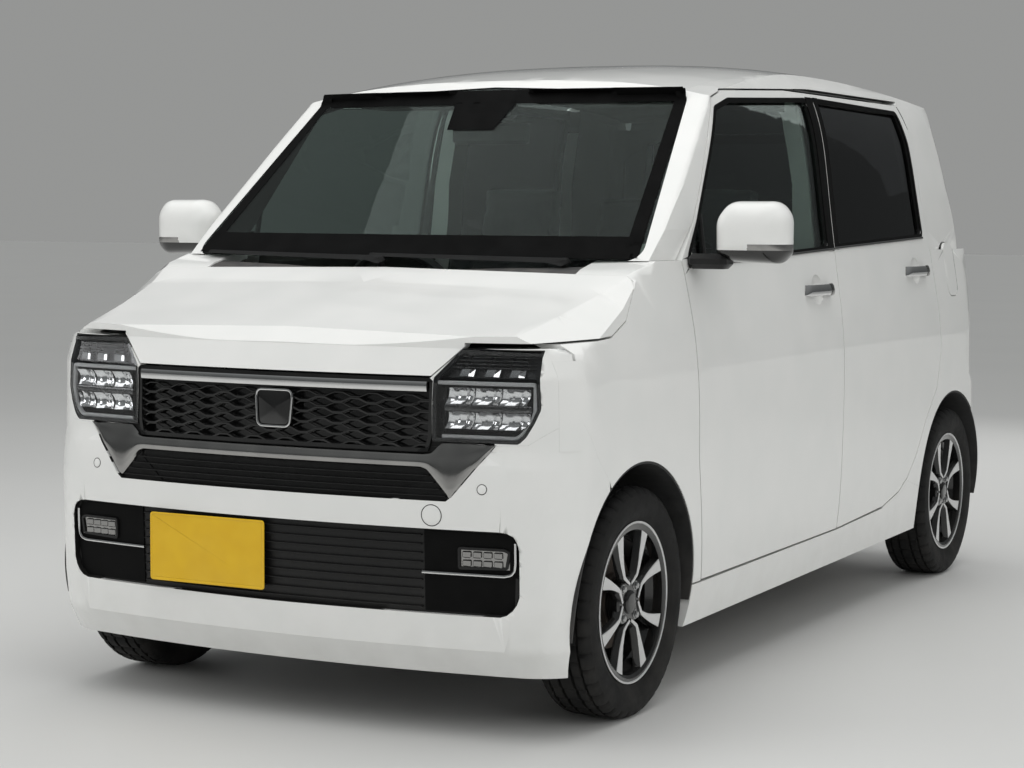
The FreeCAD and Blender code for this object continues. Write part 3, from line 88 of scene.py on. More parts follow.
def grid_faces(rows: int, cols: int, wrap_rows: bool = False, wrap_cols: bool = False) -> np.ndarray:
    """Quads that join neighbours of a grid of points.

    Args:
        rows: number of rows of points.
        cols: number of points in a row.
        wrap_rows: join the last row to the first.
        wrap_cols: join the last point of each row to its first.

    Returns:
        An array of four point numbers for each quad.
    """
    r = np.arange(rows if wrap_rows else rows - 1)[:, None]
    c = np.arange(cols if wrap_cols else cols - 1)[None, :]
    r2, c2 = (r + 1) % rows, (c + 1) % cols
    quads = np.stack([r * cols + c, r * cols + c2, r2 * cols + c2, r2 * cols + c], axis=-1)
    return quads.reshape(-1, 4)


def tube_faces(rows: int, count: int, closed: bool = False) -> list:
    """Faces of a tube of like loops, with flat ends unless it is closed on itself.

    Args:
        rows: number of loops.
        count: number of points in a loop.
        closed: join the last loop to the first.

    Returns:
        Lists of point numbers.
    """
    faces = grid_faces(rows, count, closed, True).tolist()
    if not closed:
        last = (rows - 1) * count
        faces.append(list(range(count - 1, -1, -1)))
        faces.append([last + k for k in range(count)])
    return faces


def linked(name: str, data: bpy.types.ID) -> Object:
    """A new object in the scene."""
    thing = bpy.data.objects.new(name, data)
    bpy.context.scene.collection.objects.link(thing)
    return thing


def vectors(rows: bpy.types.bpy_prop_collection, name: str) -> np.ndarray:
    """A vector that all of a mesh's points, faces or corners have, one row for each."""
    flat = np.empty(len(rows) * 3)
    rows.foreach_get(name, flat)
    return flat.reshape(-1, 3)


def make_piece(name: str, points: np.ndarray, faces: list, material: Material,
               smooth: float = 35.0) -> Object:
    """A mesh object from points in millimetres, with its normals made to point outwards.

    Args:
        name: the piece's name.
        points: an array of points, three numbers each.
        faces: lists of point numbers.
        material: the piece's finish.
        smooth: faces that meet at less than this angle in degrees are shaded smooth.

    Returns:
        The new object.
    """
    mesh = bpy.data.meshes.new(name)
    mesh.from_pydata((np.asarray(points, float) * MM).tolist(), [], [list(map(int, f)) for f in faces])
    mesh.validate()
    piece = linked(name, mesh)
    mesh.materials.append(material)
    finish_mesh(piece, smooth)
    return piece


def finish_mesh(piece: Object, smooth: float = 35.0) -> None:
    """Merges doubles, turns the faces outwards and sets smooth shading below an angle."""
    work = bmesh.new()
    work.from_mesh(piece.data)
    bmesh.ops.remove_doubles(work, verts=work.verts, dist=2e-5)
    bmesh.ops.recalc_face_normals(work, faces=work.faces)
    work.to_mesh(piece.data)
    work.free()
    shade(piece, smooth)


def shade(piece: Object, angle: float) -> None:
    """Shades a mesh smooth where its faces meet at less than an angle in degrees."""
    piece.data.polygons.foreach_set("use_smooth", [True] * len(piece.data.polygons))
    piece.data.set_sharp_from_angle(angle=math.radians(angle))


def join(name: str, pieces: list) -> Object:
    """Joins several mesh objects into the first, keeping their materials."""
    bpy.ops.object.select_all(action="DESELECT")
    for piece in pieces:
        piece.select_set(True)
    bpy.context.view_layer.objects.active = pieces[0]
    bpy.ops.object.join()
    pieces[0].name = name
    pieces[0].data.name = name
    return pieces[0]


def settle(piece: Object) -> Object:
    """Applies a piece's modifiers, so that its final shape is in its mesh."""
    graph = bpy.context.evaluated_depsgraph_get()
    mesh = bpy.data.meshes.new_from_object(piece.evaluated_get(graph))
    piece.modifiers.clear()
    piece.data = mesh
    return piece


def mirrored(piece: Object, name: str) -> Object:
    """A copy of a left-hand piece for the car's right side."""
    mesh = piece.data.copy()
    points = vectors(mesh.vertices, "co") * (-1.0, 1.0, 1.0)
    mesh.vertices.foreach_set("co", points.ravel())
    mesh.flip_normals()
    mesh.update()
    return linked(name, mesh)


def placed(piece: Object, name: str, shift: float, sign: float) -> Object:
    """A copy of a piece at another place of the car.

    Args:
        piece: a left-hand piece.
        name: the copy's name.
        shift: how far it is moved back.
        sign: -1 to mirror it to the right side.

    Returns:
        The copy.
    """
    copy = mirrored(piece, name)
    if sign > 0:
        copy.data.transform(Matrix.Scale(-1.0, 4, Vector((1.0, 0.0, 0.0))))
        copy.data.flip_normals()
    copy.data.transform(Matrix.Translation(Vector((0.0, shift * MM, 0.0))))
    return copy


def rounded(points: list, radius: float = 8.0, steps: int = 5) -> np.ndarray:
    """A closed flat outline with each corner turned on an arc.

    Each corner is replaced by points of a quadratic curve from one tangent length before it to one
    after it, which is a near circle for open corners.

    Args:
        points: corners as (a, b) or (a, b, radius).
        radius: radius where a corner gives none.
        steps: points on each arc.

    Returns:
        The outline, one row for each point.
    """
    corners = np.array([p[:2] for p in points], float)
    out = []
    share = np.linspace(0, 1, steps)[:, None]
    for i, corner in enumerate(corners):
        size = points[i][2] if len(points[i]) > 2 else radius
        back, ahead = corners[i - 1] - corner, corners[(i + 1) % len(corners)] - corner
        lb, la = np.linalg.norm(back), np.linalg.norm(ahead)
        cosine = np.clip(np.dot(back, ahead) / (lb * la), -1, 1)
        reach = min(size / max(math.tan(math.acos(cosine) / 2), 1e-3), 0.46 * lb, 0.46 * la)
        start, end = corner + back / lb * reach, corner + ahead / la * reach
        out.append((1 - share) ** 2 * start + 2 * share * (1 - share) * corner + share ** 2 * end)
    return np.concatenate(out)


def inset(outline: np.ndarray, by: float) -> np.ndarray:
    """A closed outline moved to its left by a distance, point by point along the mean edge normal."""
    ahead = np.roll(outline, -1, axis=0) - outline
    ahead /= np.maximum(np.linalg.norm(ahead, axis=1, keepdims=True), 1e-9)
    mean = ahead + np.roll(ahead, 1, axis=0)
    mean /= np.maximum(np.linalg.norm(mean, axis=1, keepdims=True), 1e-9)
    normal = np.stack([-mean[:, 1], mean[:, 0]], axis=1)
    area = np.sum(outline[:, 0] * np.roll(outline[:, 1], -1) - outline[:, 1] * np.roll(outline[:, 0], -1))
    return outline + normal * by * (1 if area > 0 else -1)


def shrunk(outline: np.ndarray, share: float) -> np.ndarray:
    """An outline drawn in towards its own middle by a share of its size."""
    middle = (outline.min(axis=0) + outline.max(axis=0)) / 2
    return middle + (outline - middle) * (1 - share)


def inside(flat: np.ndarray, outline: np.ndarray) -> np.ndarray:
    """Which flat points lie inside a closed outline, by counting crossings."""
    x, z = flat[:, 0][:, None], flat[:, 1][:, None]
    x0, z0 = outline[:, 0][None], outline[:, 1][None]
    x1, z1 = np.roll(outline[:, 0], -1)[None], np.roll(outline[:, 1], -1)[None]
    spans = (z0 > z) != (z1 > z)
    run = np.where(z1 == z0, 1e-9, z1 - z0)
    return np.sum(spans & (x < (x1 - x0) * (z - z0) / run + x0), axis=1) % 2 == 1


def resampled(points: np.ndarray, count: int, closed: bool = False) -> np.ndarray:
    """Points spaced evenly along a line of straight stretches.

    Args:
        points: the line's corners.
        count: how many points are wanted.
        closed: the line runs back to its first corner.

    Returns:
        The evenly spaced points.
    """
    points = np.asarray(points, float)
    if closed:
        points = np.vstack([points, points[:1]])
    along = np.concatenate([[0], np.cumsum(np.linalg.norm(np.diff(points, axis=0), axis=1))])
    at = np.linspace(0, along[-1], count + 1)[:-1] if closed else np.linspace(0, along[-1], count)
    return np.stack([np.interp(at, along, points[:, k]) for k in range(points.shape[1])], axis=1)


def carried(path: np.ndarray, outward: np.ndarray, profile: np.ndarray, closed: bool = False) -> tuple:
    """A profile carried along a path.

    A point of the profile (a, b) stands at path + a * across + b * outward, where across is the
    unit vector square to both the path and the outward direction.

    Args:
        path: points of the path.
        outward: the outward direction at each of them.
        profile: closed profile as (across, outward) rows, one for the whole path or one for each point.
        closed: the path is a loop.

    Returns:
        Points and faces, with flat ends on an open path.
    """
    path, outward, profile = (np.asarray(a, float) for a in (path, outward, profile))
    if profile.ndim == 2:
        profile = np.broadcast_to(profile, (len(path),) + profile.shape)
    ahead = np.roll(path, -1, axis=0) - np.roll(path, 1, axis=0)
    if not closed:
        ahead[0], ahead[-1] = path[1] - path[0], path[-1] - path[-2]
    outward = outward / np.linalg.norm(outward, axis=1, keepdims=True)
    across = np.cross(ahead, outward)
    across /= np.maximum(np.linalg.norm(across, axis=1, keepdims=True), 1e-9)
    points = path[:, None] + across[:, None] * profile[..., :1] + outward[:, None] * profile[..., 1:]
    return points.reshape(-1, 3), tube_faces(len(path), profile.shape[1], closed)


def bar_profile(width: float, height: float, crown: float = 0.35) -> np.ndarray:
    """A low rounded bar, whose top is part of an oval.

    Args:
        width: width of its foot.
        height: height of its middle.
        crown: share of the height that is rounded.

    Returns:
        The closed profile.
    """
    turn = np.linspace(0, math.pi, 9)
    top = np.stack([width / 2 * np.cos(turn), height * ((1 - crown) + crown * np.sin(turn))], axis=1)
    return np.vstack([[[width / 2, 0]], top, [[-width / 2, 0]]])


def turned(profile: tuple, centre: tuple, steps: int) -> tuple:
    """A profile turned round a line across the car.

    Args:
        profile: rows of (distance outboard of the centre, radius).
        centre: a point of the line.
        steps: number of steps in the turn.

    Returns:
        Points and faces.
    """
    profile = np.asarray(profile, float)
    angle = np.arange(steps) * 2 * math.pi / steps
    x = centre[0] + profile[:, 0]
    y = centre[1] + profile[None, :, 1] * np.cos(angle)[:, None]
    z = centre[2] + profile[None, :, 1] * np.sin(angle)[:, None]
    points = np.stack([np.broadcast_to(x, y.shape), y, z], axis=-1).reshape(-1, 3)
    return points, grid_faces(steps, len(profile), True, False).tolist()


def stacked(loops: list) -> tuple:
    """Closed loops of the same number of points joined one to the next, with flat ends."""
    return np.concatenate(loops), tube_faces(len(loops), len(loops[0]))


def merged(parts: list) -> tuple:
    """Several (points, faces) pairs as one."""
    points, faces, base = [], [], 0
    for part_points, part_faces in parts:
        points.append(part_points)
        faces += [[base + k for k in face] for face in part_faces]
        base += len(part_points)
    return np.concatenate(points), faces


def block(low: tuple, high: tuple, edge: float = 2.0) -> tuple:
    """A block with chamfered upright edges and rims.

    Args:
        low: its lowest corner.
        high: its highest corner.
        edge: width of the chamfers.

    Returns:
        Points and faces.
    """
    x0, y0, z0 = low
    x1, y1, z1 = high
    plan = np.array([(x0 + edge, y0), (x1 - edge, y0), (x1, y0 + edge), (x1, y1 - edge), (x1 - edge, y1),
                     (x0 + edge, y1), (x0, y1 - edge), (x0, y0 + edge)])
    small = inset(plan, edge)
    loops = []
    for z, loop in ((z0, small), (z0 + edge, plan), (z1 - edge, plan), (z1, small)):
        loops.append(np.column_stack([loop, np.full(len(loop), z)]))
    return stacked(loops)


def evened(piece: Object) -> Object:
    """Lets large faces lead the shading, so that small cuts leave no streaks on a panel."""
    even = piece.modifiers.new("even", "WEIGHTED_NORMAL")
    even.keep_sharp = True
    even.weight = 60
    return settle(piece)


def split_at(piece: Object, *levels: float) -> None:
    """Cuts new edges into a piece at some heights in millimetres."""
    work = bmesh.new()
    work.from_mesh(piece.data)
    for level in levels:
        everything = list(work.verts) + list(work.edges) + list(work.faces)
        bmesh.ops.bisect_plane(work, geom=everything, plane_co=(0, 0, level * MM), plane_no=(0, 0, 1))
    work.to_mesh(piece.data)
    work.free()


def carved(piece: Object, cutter: Object) -> Object:
    """Cuts a closed piece's shape out of another and removes the cutter."""
    cut = piece.modifiers.new("cut", "BOOLEAN")
    cut.operation = "DIFFERENCE"
    cut.solver = "EXACT"
    cut.object = cutter
    settle(piece)
    bpy.data.objects.remove(cutter)
    return piece


def sheet(front: np.ndarray, back: np.ndarray, rows: int, cols: int, wrap: bool = False) -> tuple:
    """A thin closed wall between two like grids of points.

    Args:
        front: the outer points, row by row.
        back: the inner points, in the same order.
        rows: number of rows.
        cols: number of points in a row.
        wrap: the last row joins the first.

    Returns:
        Points and faces of the closed wall.
    """
    total = rows * cols
    faces = grid_faces(rows, cols, wrap).tolist()
    faces += [[total + k for k in reversed(face)] for face in faces]
    count = rows if wrap else rows - 1
    for col in (0, cols - 1):
        for r in range(count):
            a, b = r * cols + col, ((r + 1) % rows) * cols + col
            faces.append([a, b, total + b, total + a])
    if not wrap:
        for row in (0, rows - 1):
            for c in range(cols - 1):
                a, b = row * cols + c, row * cols + c + 1
                faces.append([a, b, total + b, total + a])
    return np.concatenate([front, back]), faces


def ruled(first: list, second: list, rows: int, cols: int) -> np.ndarray:
    """A grid of straight lines from one line to another, both divided evenly."""
    a, b = resampled(np.array(first, float), rows), resampled(np.array(second, float), rows)
    share = np.linspace(0, 1, cols)[None, :, None]
    return a[:, None] + (b - a)[:, None] * share


def ringed(outline: np.ndarray, out_by: float, in_by: float, cols: int = 3) -> np.ndarray:
    """A grid round a closed outline, from outside it to inside it."""
    return np.stack([inset(outline, by) for by in np.linspace(-out_by, in_by, cols)], axis=1)


def both_halves(points: tuple) -> np.ndarray:
    """A closed outline from its left half, which starts and ends on the middle line."""
    half = np.array(points, float)
    return np.vstack([half, (half * (-1, 1))[-2:0:-1]])


def face_centres(piece: Object) -> np.ndarray:
    """The middles of a piece's faces in millimetres."""
    return vectors(piece.data.polygons, "center") / MM


def paint_faces(piece: Object, chosen: np.ndarray, material: Material) -> None:
    """Gives some faces of a piece a finish of their own."""
    if material.name not in piece.data.materials:
        piece.data.materials.append(material)
    number = piece.data.materials.find(material.name)
    for index in np.flatnonzero(chosen):
        piece.data.polygons[int(index)].material_index = number


def oval(middle: tuple, half: tuple, count: int) -> np.ndarray:
    """Points of a flat oval round a middle, with half its width and half its height."""
    turn = np.arange(count) * 2 * math.pi / count
    return np.column_stack([middle[0] + half[0] * np.cos(turn), middle[1] + half[1] * np.sin(turn)])


def level_line(half: float, level: float, count: int) -> np.ndarray:
    """Points of a level line across the car, in the front or rear view."""
    return np.column_stack([np.linspace(-half, half, count), np.full(count, float(level))])


def upright(flat: np.ndarray, y: float) -> np.ndarray:
    """Points of the front view set upright at one place along the car."""
    return np.column_stack([flat[:, 0], np.full(len(flat), y), flat[:, 1]])


def upright_grid(span: tuple, levels: tuple, rows: int, cols: int) -> np.ndarray:
    """A grid over an upright rectangle that fills a span between two levels."""
    (x0, x1), (low, high) = span, levels
    return ruled([(x0, low), (x0, high)], [(x1, low), (x1, high)], rows, cols)


def node_copy(name: str, new_name: str, materials: list, smooth: float) -> Object:
    """A copy of a CAD node's mesh with its doubles merged.

    Args:
        name: the node.
        new_name: the copy's name.
        materials: its finishes.
        smooth: faces that meet at less than this angle in degrees are shaded smooth.

    Returns:
        The new object.
    """
    mesh = NODES[name].data.copy()
    piece = linked(new_name, mesh)
    mesh.materials.clear()
    for material in materials:
        mesh.materials.append(material)
    finish_mesh(piece, smooth)
    return piece


class Skin:
    """The outer surface of some CAD nodes, found by straight rays that start far outside."""

    far = 3000.0

    def __init__(self, *names: str) -> None:
        """Gathers the nodes' triangles into one tree."""
        points, faces, base = [], [], 0
        for name in names:
            mesh = NODES[name].data
            points.append(vectors(mesh.vertices, "co"))
            faces += [[base + v for v in p.vertices] for p in mesh.polygons]
            base += len(mesh.vertices)
        self.tree = BVHTree.FromPolygons(np.concatenate(points).tolist(), faces)

    def cast(self, flat: np.ndarray, along: Along) -> tuple:
        """Where rays through flat points meet the skin.

        Args:
            flat: rows of (y, z) for rays from a side, or (x, z) from the front or rear.
            along: the rays' direction.

        Returns:
            The points met in millimetres, not a number where a ray misses, the outward normals there,
            and which rays met the skin.
        """
        flat = np.asarray(flat, float)
        ray = Vector(along.value)
        axis = 0 if along in (Along.LEFT, Along.RIGHT) else 1
        found = np.full((len(flat), 3), np.nan)
        normals = np.tile(-np.array(along.value), (len(flat), 1))
        for i, (a, z) in enumerate(flat):
            start = np.array([0.0, 0.0, z])
            start[1 - axis] = a
            start[axis] = -self.far * along.value[axis]
            place, normal, _, _ = self.tree.ray_cast(Vector(start * MM), ray)
            found[i] = start
            found[i, axis] = np.nan
            if place is not None:
                found[i, axis] = place[axis] / MM
                normals[i] = normal if normal.dot(ray) < 0 else -normal
        return found, normals, ~np.isnan(found[:, axis])

    def hit(self, flat: np.ndarray, along: Along) -> tuple:
        """Like cast, but a ray that misses takes its depth from its neighbours in the list.

        Args:
            flat: rows of (y, z) for rays from a side, or (x, z) from the front or rear.
            along: the rays' direction.

        Returns:
            The points met in millimetres and the outward normals there.
        """
        found, normals, met = self.cast(flat, along)
        axis = 0 if along in (Along.LEFT, Along.RIGHT) else 1
        known = np.flatnonzero(met)
        if len(known) == 0:
            raise ValueError("no ray meets the skin")
        found[:, axis] = np.interp(np.arange(len(found)), known, found[known, axis])
        return found, normals


def laid(skin: Skin, grid: np.ndarray, along: Along, lift: float, wall: float, wrap: bool = False) -> tuple:
    """A thin wall laid on a skin from a flat grid, its face a lift above the skin."""
    rows, cols = grid.shape[:2]
    hit, normal = skin.hit(grid.reshape(-1, 2), along)
    return sheet(hit + normal * lift, hit + normal * (lift - wall), rows, cols, wrap)


# Shader helpers


class Shader:
    """A node tree that is filled by short calls."""

    def __init__(self, tree: NodeTree) -> None:
        """Starts on an empty tree."""
        self.tree = tree
        self.tree.nodes.clear()

    def add(self, kind: str, inputs: dict | None = None, **options: object) -> Node:
        """Adds a node, sets its options, and sets or links its inputs by name or number."""
        node = self.tree.nodes.new(kind)
        for key, value in options.items():
            setattr(node, key, value)
        for key, value in (inputs or {}).items():
            if isinstance(value, NodeSocket):
                self.tree.links.new(value, node.inputs[key])
            else:
                node.inputs[key].default_value = value
        return node

    def mix(self, factor: object, first: object, second: object) -> NodeSocket:
        """A mix of two colours."""
        node = self.add("ShaderNodeMix", {0: factor, 6: first, 7: second}, data_type="RGBA")
        return node.outputs[2]

    def math(self, operation: str, *values: object, clamp: bool = False) -> NodeSocket:
        """A sum on numbers."""
        node = self.add("ShaderNodeMath", dict(enumerate(values)), operation=operation, use_clamp=clamp)
        return node.outputs[0]

    def spread(self, value: object, low: float, high: float, to_low: float = 0.0,
               to_high: float = 1.0) -> NodeSocket:
        """A value carried from one range to another, kept inside it."""
        node = self.add("ShaderNodeMapRange", {0: value, 1: low, 2: high, 3: to_low, 4: to_high}, clamp=True)
        return node.outputs[0]


def new_group(name: str, sockets: dict, results: dict) -> tuple:
    """A shader node group with named number inputs and outputs.

    Args:
        name: the group's name.
        sockets: input name to its default.
        results: output name to its socket type.

    Returns:
        The group, its filler, its input node and its output node.
    """
    tree = bpy.data.node_groups.new(name, "ShaderNodeTree")
    for key, value in sockets.items():
        kind = "NodeSocketVector" if value is None else "NodeSocketFloat"
        socket = tree.interface.new_socket(key, in_out="INPUT", socket_type=kind)
        if value is not None:
            socket.default_value = value
    for key, kind in results.items():
        tree.interface.new_socket(key, in_out="OUTPUT", socket_type=kind)
    shader = Shader(tree)
    return tree, shader, shader.add("NodeGroupInput"), shader.add("NodeGroupOutput")


def new_material(name: str) -> tuple:
    """A material, the filler of its empty tree, and the place on the object as its first socket."""
    material = bpy.data.materials.new(name)
    material.use_nodes = True
    shader = Shader(material.node_tree)
    return material, shader, shader.add("ShaderNodeTexCoord").outputs["Object"]


def make_ripple_group() -> NodeTree:
    """Soft uneven height of sprayed or moulded surfaces: two noises of different size."""
    tree, s, start, end = new_group("ripple", {"Place": None, "Size": 60.0, "Fine": 900.0},
                                    {"Height": "NodeSocketFloat", "Mask": "NodeSocketFloat"})
    place, size, fine_size = start.outputs[:3]
    broad = s.add("ShaderNodeTexNoise", {"Vector": place, "Scale": size, "Detail": 1.0})
    fine = s.add("ShaderNodeTexNoise", {"Vector": place, "Scale": fine_size, "Detail": 2.0})
    height = s.math("MULTIPLY_ADD", fine.outputs[0], 0.35, broad.outputs[0])
    s.tree.links.new(height, end.inputs[0])
    s.tree.links.new(broad.outputs[0], end.inputs[1])
    return tree


def make_grain_group() -> NodeTree:
    """Leather-like grain of moulded plastic: cells with soft edges."""
    tree, s, start, end = new_group("grain", {"Place": None, "Scale": 700.0},
                                    {"Height": "NodeSocketFloat", "Mask": "NodeSocketFloat"})
    cells = s.add("ShaderNodeTexVoronoi", {"Vector": start.outputs[0], "Scale": start.outputs[1]},
                  feature="SMOOTH_F1")
    noise = s.add("ShaderNodeTexNoise", {"Vector": start.outputs[0], "Scale": 35.0, "Detail": 3.0})
    s.tree.links.new(s.math("SUBTRACT", 1.0, cells.outputs[0]), end.inputs[0])
    s.tree.links.new(noise.outputs[0], end.inputs[1])
    return tree


def make_dust_group() -> NodeTree:
    """Road dust: thicker towards the ground and broken up by noise."""
    tree, s, start, end = new_group("dust", {"Place": None, "Top": 0.5, "Amount": 0.3},
                                    {"Mask": "NodeSocketFloat"})
    parts = s.add("ShaderNodeSeparateXYZ", {0: start.outputs[0]})
    low = s.add("ShaderNodeMapRange", {0: parts.outputs[2], 1: start.outputs[1], 2: 0.05, 3: 0.0, 4: 1.0},
                clamp=True)
    noise = s.add("ShaderNodeTexNoise", {"Vector": start.outputs[0], "Scale": 14.0, "Detail": 6.0})
    broken = s.math("MULTIPLY", low.outputs[0], s.spread(noise.outputs[0], 0.35, 0.7))
    s.tree.links.new(s.math("MULTIPLY", broken, start.outputs[2], clamp=True), end.inputs[0])
    return tree


def make_weave_group() -> NodeTree:
    """Woven cloth: two crossed wave bands, with slubs of noise."""
    tree, s, start, end = new_group("weave", {"Place": None, "Scale": 420.0},
                                    {"Height": "NodeSocketFloat", "Mask": "NodeSocketFloat"})
    bands = []
    for direction in ("X", "Z"):
        wave = s.add("ShaderNodeTexWave", {"Vector": start.outputs[0], "Scale": start.outputs[1],
                                           "Distortion": 0.6, "Detail": 1.0},
                     wave_type="BANDS", bands_direction=direction)
        bands.append(wave.outputs[1])
    cross = s.math("MAXIMUM", *bands)
    noise = s.add("ShaderNodeTexNoise", {"Vector": start.outputs[0], "Scale": 60.0, "Detail": 4.0})
    s.tree.links.new(cross, end.inputs[0])
    s.tree.links.new(noise.outputs[0], end.inputs[1])
    return tree


class Effects:
    """The shared shader groups, each built once."""

    ripple = make_ripple_group()
    grain = make_grain_group()
    dust = make_dust_group()
    weave = make_weave_group()


class Surface(Enum):
    """What a finish's small relief looks like."""

    RIPPLE = "ripple"
    GRAIN = "grain"
    WEAVE = "weave"


@dataclass(frozen=True)
class Finish:
    """A surface finish: colours, gloss and the relief over it."""

    name: str
    colour: tuple
    second: tuple
    rough: float = 0.4
    rough_to: float = 0.5
    metallic: float = 0.0
    coat: float = 0.0
    coat_rough: float = 0.03
    relief: Surface = Surface.RIPPLE
    scale: float = 60.0
    fine: float = 900.0
    bump: float = 0.05
    dust_top: float = 0.5
    dust: float = 0.0
    specular: float = 0.5
    sheen: float = 0.0

    def make(self) -> Material:
        """The material of this finish, on Object coordinates."""
        material, s, place = new_material(self.name)
        relief = s.add("ShaderNodeGroup", node_tree=getattr(Effects, self.relief.value))
        s.tree.links.new(place, relief.inputs[0])
        relief.inputs[1].default_value = self.scale
        if self.relief is Surface.RIPPLE:
            relief.inputs[2].default_value = self.fine
        colour = s.mix(s.spread(relief.outputs[1], 0.3, 0.7), self.colour, self.second)
        rough = s.spread(relief.outputs[1], 0.3, 0.7, self.rough, self.rough_to)
        if self.dust > 0:
            dust = s.add("ShaderNodeGroup", {"Place": place, "Top": self.dust_top, "Amount": self.dust},
                         node_tree=Effects.dust).outputs[0]
            colour = s.mix(dust, colour, (0.36, 0.33, 0.29, 1.0))
            rough = s.math("MULTIPLY_ADD", dust, 0.35, rough, clamp=True)
        height = relief.outputs[0]
        bump = s.add("ShaderNodeBump", {"Strength": self.bump, "Distance": 0.001, "Height": height})
        shader = s.add("ShaderNodeBsdfPrincipled", {
            "Base Color": colour, "Roughness": rough, "Metallic": self.metallic,
            "Coat Weight": self.coat, "Coat Roughness": self.coat_rough,
            "Specular IOR Level": self.specular, "Sheen Weight": self.sheen, "Normal": bump.outputs[0],
        })
        s.add("ShaderNodeOutputMaterial", {"Surface": shader.outputs[0]})
        return material


@dataclass(frozen=True)
class Glazing:
    """A see-through finish with a slight tint."""

    name: str
    tint: tuple
    rough: float = 0.0
    ior: float = 1.45
    transmission: float = 1.0

    def make(self) -> Material:
        """The material of this glass, with a faint ripple in its gloss."""
        material, s, place = new_material(self.name)
        ripple = s.add("ShaderNodeGroup", {"Place": place, "Size": 1.2, "Fine": 5.0},
                       node_tree=Effects.ripple)
        colour = s.mix(s.spread(ripple.outputs[1], 0.3, 0.7), self.tint,
                       tuple(0.96 * c for c in self.tint[:3]) + (1.0,))
        bump = s.add("ShaderNodeBump", {"Strength": 0.02, "Distance": 0.001, "Height": ripple.outputs[0]})
        shader = s.add("ShaderNodeBsdfPrincipled", {
            "Base Color": colour, "Roughness": self.rough, "Transmission Weight": self.transmission,
            "IOR": self.ior, "Normal": bump.outputs[0],
        })
        s.add("ShaderNodeOutputMaterial", {"Surface": shader.outputs[0]})
        return material


def grey(value: float, warm: float = 0.0) -> tuple:
    """A grey with a little warmth."""
    return (value * (1 + warm), value, value * (1 - warm), 1.0)


